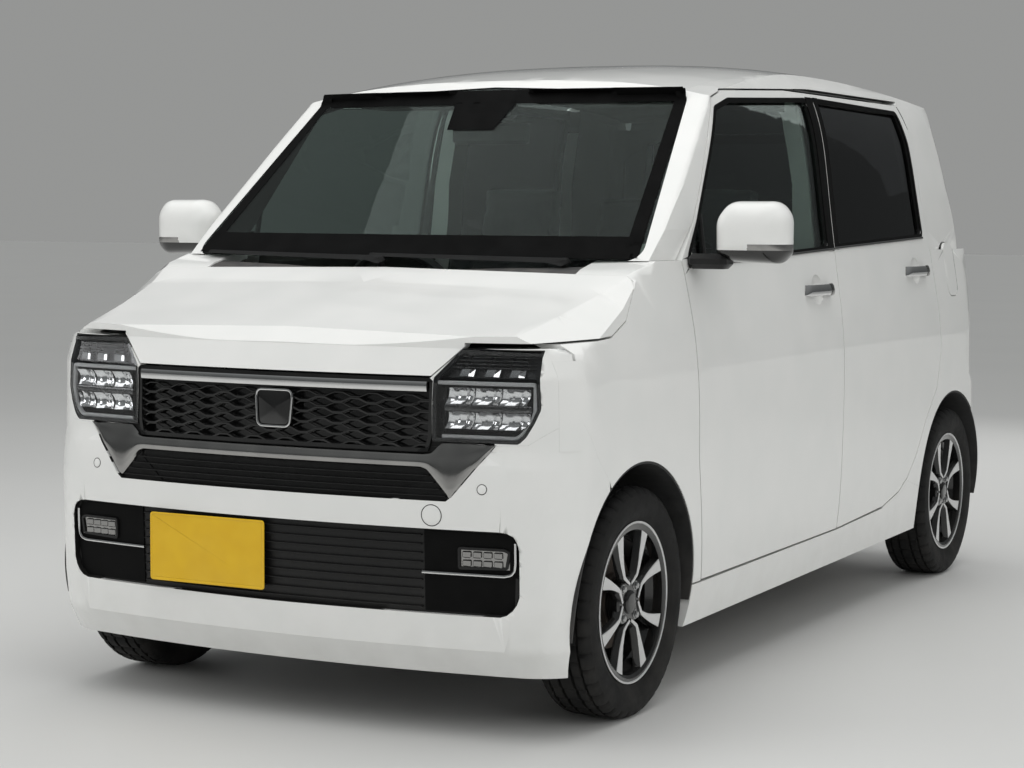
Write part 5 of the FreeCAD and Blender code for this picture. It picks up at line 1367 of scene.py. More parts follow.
@dataclass
class FrontFace:
    """Chrome bars, grille waves, intake details, plate and sensors of the nose."""

    nose: NoseFace
    bar_half: float = 400.0
    bar_level: float = 813.0
    grille_half: float = 404.0
    grille_levels: tuple = (664.0, 832.0)
    grille_edge: tuple = ((0, 833), (412, 833), (411, 700), (402, 664), (0, 664))
    wave_count: int = 9
    wave_rise: float = 9.0
    wave_first: float = 671.0
    wave_last: float = 790.0
    wave_pitch: float = 12.4
    boss_corners: tuple = ((-44, 706, 16), (44, 706, 16), (51, 792, 16), (-51, 792, 16))
    wing_lower: tuple = ((0, 628), (388, 628), (404, 622), (462, 559), (467, 562), (568, 686))
    wing_upper: tuple = ((0, 661), (394, 661), (410, 664), (436, 686), (500, 687), (568, 687))
    wing_shares: tuple = (0, 0.48, 0.54, 0.74, 0.77, 1.0)
    wing_face: tuple = ((0, 0.08, 0.45, 0.92, 1.0), (7.0, 2.0, -2.5, 1.0, 6.0))
    slot_half: float = 395.0
    slot_top: float = 622.0
    slot_levels: tuple = (566, 581, 596, 611)
    slot_depth: float = 12.0
    intake_half: float = 390.0
    intake_levels: tuple = (308.0, 474.0, 9)
    intake_depth: float = 16.0
    pod_left: tuple = ((396, 300), (396, 486))
    pod_right: tuple = ((590, 300), (617, 322), (625, 350), (625, 455), (606, 484))
    fog_ring: tuple = ((480, 400, 8), (598, 404, 8), (606, 446, 12), (590, 452, 8), (480, 452, 8))
    fog_left: tuple = ((482, 402), (482, 450))
    fog_right: tuple = ((602, 404), (602, 448))
    cell_start: tuple = (490, 408)
    cell_pitch: tuple = (25, 20)
    cell_size: tuple = (21, 15)
    corner_line: tuple = ((392, 389), (590, 389), (606, 393), (614, 404), (616, 420), (616, 466))
    plate_centre: tuple = (-183.0, 400.0)
    plate_size: tuple = (330.0, 165.0)
    plate_front: float = -1696.0
    plate_stages: tuple = ((0, 2.0), (0, 0.5), (1, 0.0), (4, 0.0), (5.5, 0.9), (8.0, 0.9))
    cap_places: tuple = (("sensor_left", 541, 586, 11), ("sensor_right", -541, 586, 11),
                         ("tow_cover", 421, 522, 24))
    cap_stages: tuple = ((0.05, 2), (0.05, -0.6), (0.12, -1.2), (0.9, -1.5))

    def upper_bar(self) -> None:
        """The chrome bar along the top of the upper grille."""
        line = level_line(self.bar_half, self.bar_level, 61)
        bar = self.nose.bar(line, 1.0, bar_profile(23.0, 7.0, 0.4))
        ride(make_piece("chrome_grille_bar", *bar, Paints.chrome), "body")

    def grille(self) -> None:
        """The upper grille: a dark back, a frame, and rows of wavy bars with flat tops and slanted steps.

        A wave's height goes up over one step of its phase, stays for one, and comes down over one.
        """
        half = self.grille_half
        bed = upright_grid((-half, half), self.grille_levels, 9, 41)
        edge = resampled(both_halves(self.grille_edge), 200, True)
        parts = [self.nose.plate(bed, 27.0, 4.0), self.nose.plate(ringed(edge, 0.0, 9.0), 3.0, 24.0, True)]
        x = np.linspace(-half, half, self.wave_count * 16 + 1)
        phase = (x / (2 * half) * self.wave_count * 4) % 4
        step = np.clip(np.minimum(phase, 3 - phase), 0, 1) * self.wave_rise
        for number, level in enumerate(np.arange(self.wave_first, self.wave_last, self.wave_pitch)):
            deep = number % 2 == 0
            size, base = (3.4, 4.0) if deep else (2.0, 10.0)
            top, foot = -base, base - 22
            profile = np.array([(-size, foot), (-size * 0.6, top), (size * 0.6, top), (size, foot)])
            wave = step if deep else self.wave_rise - step
            parts.append(self.nose.bar(np.column_stack([x, level + wave]), 0.0, profile))
        piece = make_piece("upper_grille_dressed", *merged(parts), Paints.piano, 50)
        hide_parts("upper_grille")
        ride(piece, "body")

    def badge_rest(self) -> None:
        """The bare rounded boss in the middle of the grille with its bright rim."""
        ring = resampled(rounded(self.boss_corners, 16, 6), 96, True)
        stages = ((0.1, 22), (0.1, 0), (0.14, -1), (0.9, -2))
        loops = [self.nose.place(shrunk(ring, by), depth) for by, depth in stages]
        boss = make_piece("boss", *stacked(loops), Paints.piano)
        rim = make_piece("rim", *self.nose.bar(ring, 3.0, bar_profile(6.0, 6.5), True), Paints.chrome)
        ride(join("grille_boss", [boss, rim]), "body")

    def wing_bar(self) -> None:
        """The dark bright bar under the grille: narrow in the middle, broad wings up to the headlights.

        Its face is ruled from the lower line to the upper one, and swells forward between them.
        """
        s = np.linspace(-1, 1, 121)
        lines = []
        for line in (self.wing_lower, self.wing_upper):
            x, z = np.array(line, float).T
            out = np.interp(np.abs(s), self.wing_shares, x) * np.sign(s)
            lines.append(np.column_stack([out, np.interp(np.abs(s), self.wing_shares, z)]))
        share = np.linspace(0, 1, 11)
        flat = lines[0][:, None] + (lines[1] - lines[0])[:, None] * share[None, :, None]
        front = self.nose.place(flat, 0.0)
        front[:, 1] += np.tile(np.interp(share, *self.wing_face), 121)
        shell = sheet(front, front + np.array([0.0, 8.0, 0.0]), 121, 11)
        ride(make_piece("chrome_wing_bar", *shell, Paints.smoked, 40), "body")

    def slats(self) -> None:
        """Level slats across the slot, which widens downwards from its top, and the intake's middle."""
        profile = np.array([(-1.8, -6), (-0.8, 8), (0.8, 8), (1.8, -6)])
        widest = self.slot_half + self.slot_top
        rows = [(widest - level, level, self.slot_depth) for level in self.slot_levels]
        rows += [(self.intake_half, level, self.intake_depth) for level in np.linspace(*self.intake_levels)]
        parts = [self.nose.bar(level_line(half, level, 41), depth, profile) for half, level, depth in rows]
        ride(make_piece("intake_slats", *merged(parts), Paints.satin), "body")

    def intake_ends(self) -> None:
        """The smooth pods at the intake's ends with lamp units and chrome corner trims."""
        grid = ruled(self.pod_left, self.pod_right, 25, 13)
        pod = make_piece("intake_pod_left", *self.nose.plate(grid, 13.0, 4.0), Paints.frit)
        ride_pair(pod, "body")
        ring = rounded(self.fog_ring, 8, 5)
        case = make_piece("fog_case_left", *self.nose.plate(ringed(ring, 0, 6), 7.0, 6.0, True), Paints.satin)
        grid = ruled(self.fog_left, self.fog_right, 7, 9)
        bed = make_piece("fog_bed_left", *self.nose.plate(grid, 11.0, 2.0), Paints.smoked)
        ride_pair(join("fog_case_left", [case, bed]), "body")
        cells = []
        for column in range(4):
            for row in range(2):
                x = self.cell_start[0] + column * self.cell_pitch[0]
                z = self.cell_start[1] + row * self.cell_pitch[1]
                y = float(self.nose.y(np.array([x + 11.0]), np.array([z + 8.0]))[0])
                cells.append(block((x, y + 6, z), (x + self.cell_size[0], y + 12, z + self.cell_size[1])))
        piece = make_piece("fog_cells_left", *merged(cells), Paints.smoked)
        ride_pair(piece, "body")
        trim = self.nose.bar(resampled(self.corner_line, 60), 13.0, bar_profile(7.0, 7.0))
        trim = make_piece("chrome_corner_left", *trim, Paints.chrome)
        ride_pair(trim, "body")

    def plate(self) -> None:
        """The blank number plate with its raised rim, on a dark carrier."""
        cx, cz = self.plate_centre
        w, h = self.plate_size[0] / 2, self.plate_size[1] / 2
        ring = rounded([(cx - w, cz - h), (cx + w, cz - h), (cx + w, cz + h), (cx - w, cz + h)], 9, 6)
        loops = []
        for by, y in self.plate_stages:
            loops.append(upright(inset(ring, by), self.plate_front + y))
        ride(make_piece("number_plate_front", *stacked(loops), Paints.plate), "body")
        low = (cx - 120, self.plate_front + 2.4, cz - 60)
        high = (cx + 120, self.plate_front + 30, cz + 50)
        carrier = make_piece("plate_carrier_front", *block(low, high, 4), Paints.satin)
        ride(carrier, "body")

    def caps(self) -> None:
        """Parking sensors and the tow eye's cover, each in its thin ring gap."""
        for name, x, z, radius in self.cap_places:
            circle = oval((x, z), (radius, radius), 40)
            gap = self.nose.plate(ringed(circle, 1.2, 0.6), -0.4, 3.0, True)
            ring = make_piece(name + "_ring", *gap, Paints.seal)
            loops = [self.nose.place(shrunk(circle, by), depth) for by, depth in self.cap_stages]
            cap = make_piece(name, *stacked(loops), Paints.pearl)
            ride(join(name, [cap, ring]), "body")

    def build(self) -> None:
        """Builds every piece of the nose."""
        self.upper_bar()
        self.grille()
        self.badge_rest()
        self.wing_bar()
        self.slats()
        self.intake_ends()
        self.plate()
        self.caps()


@dataclass
class Headlamp:
    """A headlight: clear cover, black edge, louvres, three small lamps, light bar and six reflectors."""

    nose: NoseFace
    inner: tuple = LAMP_INNER
    outer: tuple = LAMP_OUTER
    cell_rows: tuple = ((719, 757), (775, 812))
    cell_edges: tuple = (440, 504, 568, 632)
    cell_slant: float = 9.0
    bar_corners: tuple = ((422, 823), (648, 823, 7), (648, 764, 30), (640, 728, 30), (612, 701, 26),
                          (434, 701))
    louvre_levels: tuple = (858, 866, 874, 882)
    shelf_inner: tuple = ((418, 834), (470, 892))
    shelf_outer: tuple = ((656, 834), (656, 892))
    flute_span: tuple = (418, 434)
    flute_levels: tuple = (704, 812)
    middle_span: tuple = (438, 640)
    middle_level: float = 766.0
    eye_places: tuple = (488, 548, 606)
    eye_levels: tuple = (838, 854)

    def cover(self) -> Object:
        """The clear cover."""
        grid = ruled(self.inner, self.outer, 41, 25)
        return make_piece("lamp_cover_left", *self.nose.plate(grid, 0.4, 2.6), Paints.lens)

    def edge(self) -> Object:
        """The black edge behind the cover, the lamp's floor and its side walls."""
        ring = resampled(self.inner + self.outer[::-1], 160, True)
        band = make_piece("band", *self.nose.plate(ringed(ring, -0.8, 8.5, 4), 3.4, 2.0, True), Paints.piano)
        wall = make_piece("wall", *self.nose.plate(ringed(ring, -0.6, 3.0, 2), 5.0, 44.0, True), Paints.satin)
        grid = ruled(self.inner, self.outer, 21, 13)
        bed = make_piece("bed", *self.nose.plate(grid, 46.0, 3.0), Paints.satin)
        return join("lamp_case_left", [band, wall, bed])

    def reflector(self, x0: float, x1: float, z0: float, z1: float) -> tuple:
        """One bowl, slanted on its inner side, with a deep dished face.

        With u across and v up from -1 to 1, the face lies 10 + 20 (1 - 0.55 u^2 - 0.45 v^2) behind
        the nose, and steps by 1.6 from facet to facet.

        Args:
            x0: its inner side.
            x1: its outer side.
            z0: its foot.
            z1: its top.

        Returns:
            Points and faces of the bowl.
        """
        slant = self.cell_slant
        grid = ruled([(x0, z0), (x0 + slant, z1)], [(x1 - 3, z0), (x1 + slant - 3, z1)], 9, 11)
        u = np.linspace(-1, 1, 11)[None, :]
        v = np.linspace(-1, 1, 9)[:, None]
        dish = 10.0 + 20.0 * (1 - 0.55 * u ** 2 - 0.45 * v ** 2)
        facets = 1.6 * np.sign(np.sin(u * 9.0)) * (1 - v ** 2)
        front = self.nose.place(grid, 0.0)
        front[:, 1] += (dish + facets).ravel()
        return sheet(front, front + np.array([0, 2.0, 0]), 9, 11)

    def reflectors(self) -> Object:
        """Two rows of three bowls."""
        parts = []
        for z0, z1 in self.cell_rows:
            for x0, x1 in zip(self.cell_edges, self.cell_edges[1:]):
                parts.append(self.reflector(x0, x1, z0, z1))
        return make_piece("lamp_bowls_left", *merged(parts), Paints.mirror, 20)

    def light_bar(self) -> Object:
        """The white bar across the lamp, down its outer side and back along its foot."""
        steps = 7
        bends = rounded(self.bar_corners, 4, steps)[steps:-steps]
        path = resampled(np.vstack([self.bar_corners[:1], bends, self.bar_corners[-1:]]), 90)
        bar = self.nose.bar(path, 16.0, bar_profile(9.0, 9.0, 0.3))
        return make_piece("light_bar_left", *bar, Paints.led)

    def louvres(self) -> Object:
        """The level louvres of the dark upper part on their shelf."""
        profile = np.array([(-2.4, 0), (-1.0, 8), (1.0, 8), (2.4, 0)])
        slats = []
        for level in self.louvre_levels:
            left = 430 + (level - 833) * 0.86
            line = np.column_stack([np.linspace(left, 652, 25), np.full(25, float(level))])
            slats.append(self.nose.bar(line, 18.0, profile))
        slats.append(self.nose.plate(ruled(self.shelf_inner, self.shelf_outer, 9, 13), 26.0, 3.0))
        return make_piece("lamp_louvres_left", *merged(slats), Paints.smoked_dark)

    def flutes(self) -> Object:
        """The fluted column on the inner side and the dark bar between the rows of bowls."""
        (x0, x1), (z0, z1) = self.flute_span, self.flute_levels
        flutes = []
        for x in np.linspace(x0, x1, 5):
            line = np.column_stack([np.full(13, x), np.linspace(z0, z1, 13)])
            flutes.append(self.nose.bar(line, 16.0, np.array([(-1.4, 0), (0, 5), (1.4, 0)])))
        line = np.column_stack([np.linspace(*self.middle_span, 25), np.full(25, self.middle_level)])
        flutes.append(self.nose.bar(line, 20.0, bar_profile(17.0, 10.0)))
        back = ruled([(x0 - 2, z0), (x0 - 2, z1)], [(x1 + 3, z0), (x1 + 3, z1)], 5, 5)
        flutes.append(self.nose.plate(back, 20.0, 3.0))
        return make_piece("lamp_flutes_left", *merged(flutes), Paints.smoked_dark)

    def eyes(self) -> Object:
        """The three small lamps of the upper part, each folded forward along its middle."""
        low, high = self.eye_levels
        small = []
        for x in self.eye_places:
            grid = ruled([(x - 17, low), (x - 13, high)], [(x + 17, low), (x + 19, high)], 5, 7)
            front = self.nose.place(grid, 12.0)
            front[:, 1] += 8.0 * (1 - np.abs(np.tile(np.linspace(-1, 1, 7), 5)))
            small.append(sheet(front, front + np.array([0, 2.0, 0]), 5, 7))
        return make_piece("lamp_eyes_left", *merged(small), Paints.mirror)

    def build(self) -> None:
        """Builds the left lamp and its mirror image."""
        cover = self.cover()
        ride(join("lamp_covers", [cover, mirrored(cover, "lamp_cover_right")]), "body")
        for piece, slot in ((self.edge(), "gloss_black"), (self.reflectors(), "lamp_clear"),
                            (self.light_bar(), "lamp_clear")):
            ride_pair(piece, "body")
        for piece in (self.louvres(), self.flutes(), self.eyes()):
            ride_pair(piece, "body")


@dataclass
class Wheel:
    """A road wheel: grooved tyre, black rim with bright arms in four pairs, bare cap and nuts.

    Profiles turned round the axle are rows of (distance outboard of the wheel's middle, radius).
    """

    centre: tuple = (652.5, -1212.5, 278.5)
    wheelbase: float = 2520.0
    steps: int = 240
    pitch: int = 6
    shoulder_cut: float = 6.0
    rib_cut: float = 4.5
    pair_turns: tuple = (0, 90, 180, 270)
    nut_turns: tuple = (45, 135, 225, 315)
    nut_circle: float = 50.0
    arm_span: tuple = (44.0, 190.0)
    arm_bow: tuple = ((44, 120, 190), (0.0, 1.0, 4.5))
    arm_chamfer: float = 0.8
    half_angles: tuple = ((40, 0), (55, 20), (71, 29.5), (100, 28), (130, 26), (160, 24), (190, 22.5))
    widths: tuple = ((40, 6), (70, 10), (110, 17), (150, 27), (190, 38))
    tread_half: tuple = (
        (60, 181), (60.5, 190), (64, 196.5), (66.5, 199), (67, 202), (70.5, 207), (73.5, 216), (73.9, 217.5),
        (76.2, 228), (77.4, 241), (76.8, 252), (75.2, 259), (75, 260.5), (72.5, 267), (68, 272.5), (62, 276),
        (56, 277.6), (50.5, 278.2), (50, 270), (44, 270), (43.5, 278.4), (33, 278.5), (22.5, 278.5),
        (22, 270.5), (15, 270.5), (14.5, 278.5), (5, 278.5),
    )
    barrel: tuple = (
        (67, 195), (62, 195), (60, 180.7), (37, 180), (21, 164), (-60, 180.7), (-62, 195), (-67, 195),
        (-63, 174), (23, 158), (39, 173), (62, 175), (65, 181), (66, 189), (67, 195),
    )
    hub: tuple = ((22, 0), (22, 62), (49, 61), (54, 55), (54.5, 0))
    lip: tuple = ((67.5, 195.2), (67.8, 191.0), (66.0, 189.6), (65.5, 195.2), (67.5, 195.2))
    cap: tuple = ((53, 0), (53, 29), (58, 28.5), (60.5, 25), (61.5, 18), (62, 0))
    nut: tuple = ((50, 0), (50, 10), (58, 9.6), (61, 7), (62, 0))
    nut_seat: tuple = ((50, 0), (50, 13), (53.5, 12.5), (55, 11), (55, 0))

    def tyre(self) -> Object:
        """The tyre: bulged walls with rings, four round grooves and cuts across the ribs."""
        half = np.array(self.tread_half, float)
        profile = np.vstack([half, (half * (-1, 1))[::-1]])
        radius = np.tile(profile[:, 1], (self.steps, 1))
        turn_of = np.arange(self.steps) % self.pitch
        shoulder = (np.abs(profile[:, 0]) > 50.2) & (profile[:, 1] > 265)
        rib = (np.abs(profile[:, 0]) < 50) & (profile[:, 1] > 275)
        radius[np.ix_(turn_of == 0, shoulder)] -= self.shoulder_cut
        radius[np.ix_(turn_of == self.pitch // 2, rib)] -= self.rib_cut
        angle = (np.arange(self.steps) * 2 * math.pi / self.steps)[:, None]
        x = np.broadcast_to(self.centre[0] + profile[:, 0], radius.shape)
        y = self.centre[1] + radius * np.cos(angle)
        z = self.centre[2] + radius * np.sin(angle)
        points = np.stack([x, y, z], axis=-1).reshape(-1, 3)
        faces = grid_faces(self.steps, len(profile), True, True).tolist()
        return make_piece("tyre", points, faces, Paints.rubber, 38)

    def arm(self, turn: float, side: float, top: float, foot: float, widen: float) -> tuple:
        """One arm of a pair.

        Args:
            turn: the pair's direction in degrees from straight up.
            side: 1 or -1 for the arm on either side of it.
            top: distance of its face outboard of the wheel's middle.
            foot: depth of its flanks.
            widen: how much each flank leans out at its foot.

        Returns:
            Points and faces of the closed arm.
        """
        r = np.linspace(*self.arm_span, 31)
        lean = np.interp(r, *np.array(self.half_angles, float).T)
        half = np.interp(r, *np.array(self.widths, float).T) / 2
        angle = np.radians(turn + side * lean)
        out = top + np.interp(r, *self.arm_bow)
        path = np.column_stack([self.centre[0] + out, self.centre[1] + r * np.sin(angle),
                                self.centre[2] + r * np.cos(angle)])
        edge = self.arm_chamfer
        rows = ((-half - widen, -foot), (-half, -edge), (-half + edge, 0.0),
                (half - edge, 0.0), (half, -edge), (half + widen, -foot))
        profile = np.stack([np.column_stack([across, np.full(31, up)]) for across, up in rows], axis=1)
        return carried(path, np.tile((1.0, 0.0, 0.0), (31, 1)), profile)

    def arms(self, top: float, foot: float, widen: float) -> list:
        """All eight arms, each with its face, foot and lean as arm takes them."""
        return [self.arm(turn, side, top, foot, widen) for turn in self.pair_turns for side in (1, -1)]

    def rim(self) -> Object:
        """The black rim: barrel, hub and the arms' bodies."""
        parts = [turned(self.barrel, self.centre, 120), turned(self.hub, self.centre, 72)]
        return make_piece("rim", *merged(parts + self.arms(56.5, 17.0, 5.0)), Paints.piano, 30)

    def blades(self) -> Object:
        """The bright faces of the arms and the bright lip."""
        parts = self.arms(58.2, 1.6, 0.0) + [turned(self.lip, self.centre, 120)]
        return make_piece("rim_blades", *merged(parts), Paints.machined, 30)

    def middle(self) -> Object:
        """The bare centre cap and the four nuts."""
        cap = make_piece("cap", *turned(self.cap, self.centre, 48), Paints.piano)
        x, y, z = self.centre
        nuts = []
        for turn in np.radians(self.nut_turns):
            place = (x, y + self.nut_circle * math.cos(turn), z + self.nut_circle * math.sin(turn))
            nuts += [turned(self.nut, place, 6), turned(self.nut_seat, place, 20)]
        return join("rim_middle", [cap, make_piece("nuts", *merged(nuts), Paints.steel, 25)])

    def build(self) -> None:
        """Puts a wheel at each corner of the car."""
        for piece, node, slot in ((self.tyre(), "tyre", "tyre"), (self.rim(), "rim", "alloy"),
                                  (self.blades(), "", "alloy"), (self.middle(), "", "gloss_black")):
            for end, shift in (("front", 0.0), ("rear", self.wheelbase)):
                for side, sign in SIDES:
                    copy = placed(piece, f"{piece.name}_{end}_{side}_dressed", shift, sign)
                    if node:
                        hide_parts(f"{node}_{end}_{side}")
                    ride(copy, f"{end}_wheel_{side}")
            bpy.data.objects.remove(piece)


@dataclass
class SideTrim:
    """Window surrounds, black post bands, belt mouldings, handles and mirrors of both sides."""

    side: SideFace
    post_bands: dict = field(default_factory=lambda: {
        "front_door": (((181, 1100), (193, 1549)), ((230.4, 1100), (250.6, 1549))),
        "rear_door": (((237.4, 1104), (257.4, 1550)), ((273, 1104), (291, 1550))),
    })
    divider: tuple = ((-742, 1086), (-736, 1206))
    belt_lines: dict = field(default_factory=lambda: {
        "front_door": ((-862, 1073), (229, 1106)),
        "rear_door": ((238, 1108), (1086, 1132)),
    })
    pull_length: float = 204.0
    pull_places: tuple = (-102, -100, -92, -76, -50, 0, 50, 76, 92, 100, 102)
    pull_lifts: tuple = (-2, 5, 12, 16, 18, 18.5, 18, 16, 12, 5, -2)
    pull_half: tuple = (16.0, 6.0)
    mirror_outline: tuple = ((762, 1090, 20), (930, 1084, 30), (953, 1108, 24), (953.5, 1205, 60),
                             (925, 1240, 60), (795, 1240, 70), (760, 1195, 60))
    mirror_stages: tuple = (
        (-874.5, 0.96), (-874, 0.7), (-872, 0.5), (-867, 0.32), (-857, 0.16), (-845, 0.07),
        (-830, 0.02), (-812, 0), (-796, 0.01), (-787, 0.03), (-786.5, 0.06), (-793, 0.08),
    )
    pane_stages: tuple = ((-792.5, 0.08), (-790.0, 0.08))
    lamp_levels: tuple = (1118.0, 1133.0)
    lamp_inner: float = 860.0
    case_back: float = -789.0

    def surrounds(self) -> None:
        """Black ribbons round the panes, the bands on the posts between them and the pane's divider."""
        for door, outline in WINDOWS.items():
            ring = resampled(rounded([(y, z, 16) for y, z in outline], 16, 6), 260, True)
            parts = [self.side.plate(ringed(ring, 11.0, 3.0), 0.9, 3.0, True),
                     self.side.plate(ruled(*self.post_bands[door], 25, 5), 1.1, 3.0)]
            piece = make_piece(door + "_left_surround", *merged(parts), Paints.frit)
            ride_pair(piece, door + "_left")
        bar = self.side.bar(resampled(self.divider, 15), -7.0, bar_profile(15.0, 9.0))
        piece = make_piece("pane_divider_left", *bar, Paints.satin)
        ride_pair(piece, "front_door_left")

    def belts(self) -> None:
        """The thin bright moulding under the panes."""
        for door, line in self.belt_lines.items():
            bar = self.side.bar(resampled(line, 60), 0.4, bar_profile(8.0, 3.4))
            piece = make_piece(door + "_left_belt", *bar, Paints.smoked)
            ride_pair(piece, door + "_left")

    def pulls(self) -> None:
        """The pull handles over their round cups, each an oval carried along a bowed line."""
        profile = oval((0, 0), self.pull_half, 20)
        along = np.linspace(-0.5, 0.5, 61) * self.pull_length
        outward = np.tile((1.0, 0.0, 0.15), (61, 1))
        for door, (y, z) in HANDLES.items():
            path = self.side.place(np.column_stack([y + along, np.full(61, z)]), 0.0)
            path[:, 0] += np.interp(along, self.pull_places, self.pull_lifts)
            bar = make_piece("bar", *carried(path, outward, profile), Paints.chrome, 60)
            lock = carried(path[48:57] + (1.0, 0, 0), outward[48:57], profile * (1.12, 1.2))
            piece = join(door + "_left_pull", [bar, make_piece("lock", *lock, Paints.smoked, 60)])
            ride_pair(piece, door + "_left")

    def mirrors(self) -> None:
        """The door mirrors: white cap, black lower edge, dark chrome turn lamp, stalk and glass."""
        outline = resampled(rounded(self.mirror_outline, 30, 10), 144, True)
        loops = [upright(shrunk(outline, by), y) for y, by in self.mirror_stages]
        case = make_piece("case", *stacked(loops), Paints.pearl, 40)
        low, high = self.lamp_levels
        split_at(case, low, high)
        shade(case, 40)
        x, y, z = face_centres(case).T
        paint_faces(case, (z < low) | (y > self.case_back), Paints.piano)
        lamp = (z > low) & (z < high) & (x > self.lamp_inner) & (y < self.case_back)
        paint_faces(case, lamp, Paints.smoked)
        loops = [upright(shrunk(outline, by), y) for y, by in self.pane_stages]
        glass = make_piece("pane", *stacked(loops), Paints.mirror)
        stalk = make_piece("stalk", *block((694, -868, 1070), (800, -800, 1108), 12.0), Paints.satin)
        whole = join("mirror", [case, glass, stalk])
        for side, sign in SIDES:
            copy = placed(whole, f"mirror_{side}_dressed", 0.0, sign)
            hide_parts(f"mirror_{side}")
            ride(copy, f"front_door_{side}")
        bpy.data.objects.remove(whole)

    def build(self) -> None:
        """Builds everything on the sides."""
        self.surrounds()
        self.belts()
        self.pulls()
        self.mirrors()


@dataclass
class Screen:
    """The windscreen's black border, camera housing and inner mirror."""

    foot: tuple = (((-652, 1096), (652, 1096)), ((-640, 1150), (640, 1150)))
    head: tuple = (((-560, 1541), (560, 1541)), ((-566, 1502), (566, 1502)))
    edge: tuple = (((648, 1100), (562, 1538)), ((612, 1100), (532, 1538)))
    patch: tuple = (((-95, 1508), (95, 1508)), ((-70, 1430), (70, 1430)))
    camera_low: tuple = (-62, -622, 1462)
    camera_high: tuple = (62, -560, 1508)
    stem_low: tuple = (-12, -640, 1440)
    stem_high: tuple = (12, -600, 1475)
    mirror_low: tuple = (-118, -622, 1392)
    mirror_high: tuple = (118, -600, 1450)

    def build(self) -> None:
        """Builds the border on the glass and the parts behind it."""
        skin = Skin("windscreen")
        edge = ruled(*self.edge, 41, 4)
        grids = (ruled(*self.foot, 61, 5), ruled(*self.head, 61, 5), edge, edge * (-1, 1),
                 ruled(*self.patch, 15, 9))
        parts = [laid(skin, grid, Along.FRONT, 0.7, 1.2) for grid in grids]
        ride(make_piece("screen_border", *merged(parts), Paints.frit), "body")
        housing = [block(self.camera_low, self.camera_high, 10.0), block(self.stem_low, self.stem_high, 4.0)]
        ride(make_piece("camera_housing", *merged(housing), Paints.satin), "body")
        mirror = make_piece("inner_mirror", *block(self.mirror_low, self.mirror_high, 9.0), Paints.satin)
        ride(mirror, "body")


@dataclass
class Cabin:
    """Cushioned seats, displays and the head lining's fittings."""

    voxel: float = 10.0
    pressure: float = 4.0
    frames: int = 12
    reach: float = 22.0
    shrink: float = 5.0
    fill: float = 0.9
    channels: tuple = (195.0, 455.0)
    channel_depth: float = 7.0
    seams: tuple = (700.0, 980.0)
    seam_depth: float = 6.0
    seam_width: float = 8.0
    display: tuple = ((-78, -545, 905), (92, -528, 1012))
    hood: tuple = ((-430, -690, 1012), (-220, -612, 1050))
    vent_places: tuple = (-500, -130, 130, 470)
    vent_levels: tuple = (900, 945, 5)
    vent_half: float = 42.0
    visor_places: tuple = (-300, 300)
    visor_half: float = 150.0

    def cushion(self, node: str) -> None:
        """A padded seat: the CAD form made finely meshed, blown up gently as cloth, with stitched channels.

        Args:
            node: the CAD seat.
        """
        piece = node_copy(node, node + "_cloth", [Paints.cloth], 180)
        remesh = piece.modifiers.new("even", "REMESH")
        remesh.mode = "VOXEL"
        remesh.voxel_size = self.voxel * MM
        settle(piece)
        start = self.points(piece)
        self.place(piece, start - self.normals(piece) * self.shrink)
        self.blow(piece, start)
        self.stitch(piece)
        piece.data.polygons.foreach_set("use_smooth", [True] * len(piece.data.polygons))
        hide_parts(node)
        ride(piece, "body")

    def blow(self, piece: Object, start: np.ndarray) -> None:
        """Blows a seat up as cloth, no point further than a reach from where it started.

        Args:
            piece: the seat, drawn in a little.
            start: its points before that.
        """
        cloth = piece.modifiers.new("air", "CLOTH")
        cloth.settings.use_pressure = True
        cloth.settings.uniform_pressure_force = self.pressure
        cloth.settings.effector_weights.gravity = 0.0
        cloth.settings.quality = 3
        cloth.point_cache.frame_end = self.frames
        for number in range(1, self.frames + 1):
            bpy.context.scene.frame_set(number)
        settle(piece)
        bpy.context.scene.frame_set(1)
        move = self.points(piece) - start
        size = np.linalg.norm(move, axis=1, keepdims=True)
        self.place(piece, start + move * np.minimum(1.0, self.reach / np.maximum(size, 1e-6)))

    @staticmethod
    def points(piece: Object) -> np.ndarray:
        """A piece's points in millimetres."""
        return vectors(piece.data.vertices, "co") / MM

    @staticmethod
    def normals(piece: Object) -> np.ndarray:
        """The direction outwards at each of a piece's points."""
        return vectors(piece.data.vertices, "normal")

    @staticmethod
    def place(piece: Object, points: np.ndarray) -> None:
        """Sets a piece's points from millimetres."""
        piece.data.vertices.foreach_set("co", (points * MM).ravel())
        piece.data.update()

    def stitch(self, piece: Object) -> None:
        """Pulls in the stitched lines that run down and across the seats.

        A line draws the points in by its depth times exp(-(distance / width)^2).
        """
        points = self.points(piece)
        pull = np.zeros(len(points))
        for line in self.channels:
            pull += self.channel_depth * np.exp(-((np.abs(points[:, 0]) - line) / self.seam_width) ** 2)
        for level in self.seams:
            pull += self.seam_depth * np.exp(-((points[:, 2] - level) / self.seam_width) ** 2)
        self.place(piece, points - self.normals(piece) * pull[:, None])

    def fittings(self) -> None:
        """The centre display, the instrument hood, air vents and sun visors."""
        panels = merged([block(*self.display, 6.0), block(*self.hood, 14.0)])
        ride(make_piece("displays", *panels, Paints.piano), "body")
        half = self.vent_half
        vents = [block((x - half, -516, z), (x + half, -503, z + 4), 1.5)
                 for x in self.vent_places for z in np.linspace(*self.vent_levels)]
        ride(make_piece("air_vents", *merged(vents), Paints.satin), "body")
        half = self.visor_half
        visors = [block((x - half, -560, 1497), (x + half, -400, 1512), 6.0) for x in self.visor_places]
        ride(make_piece("sun_visors", *merged(visors), Paints.liner), "body")

    def build(self) -> None:
        """Builds the cabin's pieces."""
        self.cushion("front_seats")
        self.cushion("rear_seat")
        self.fittings()


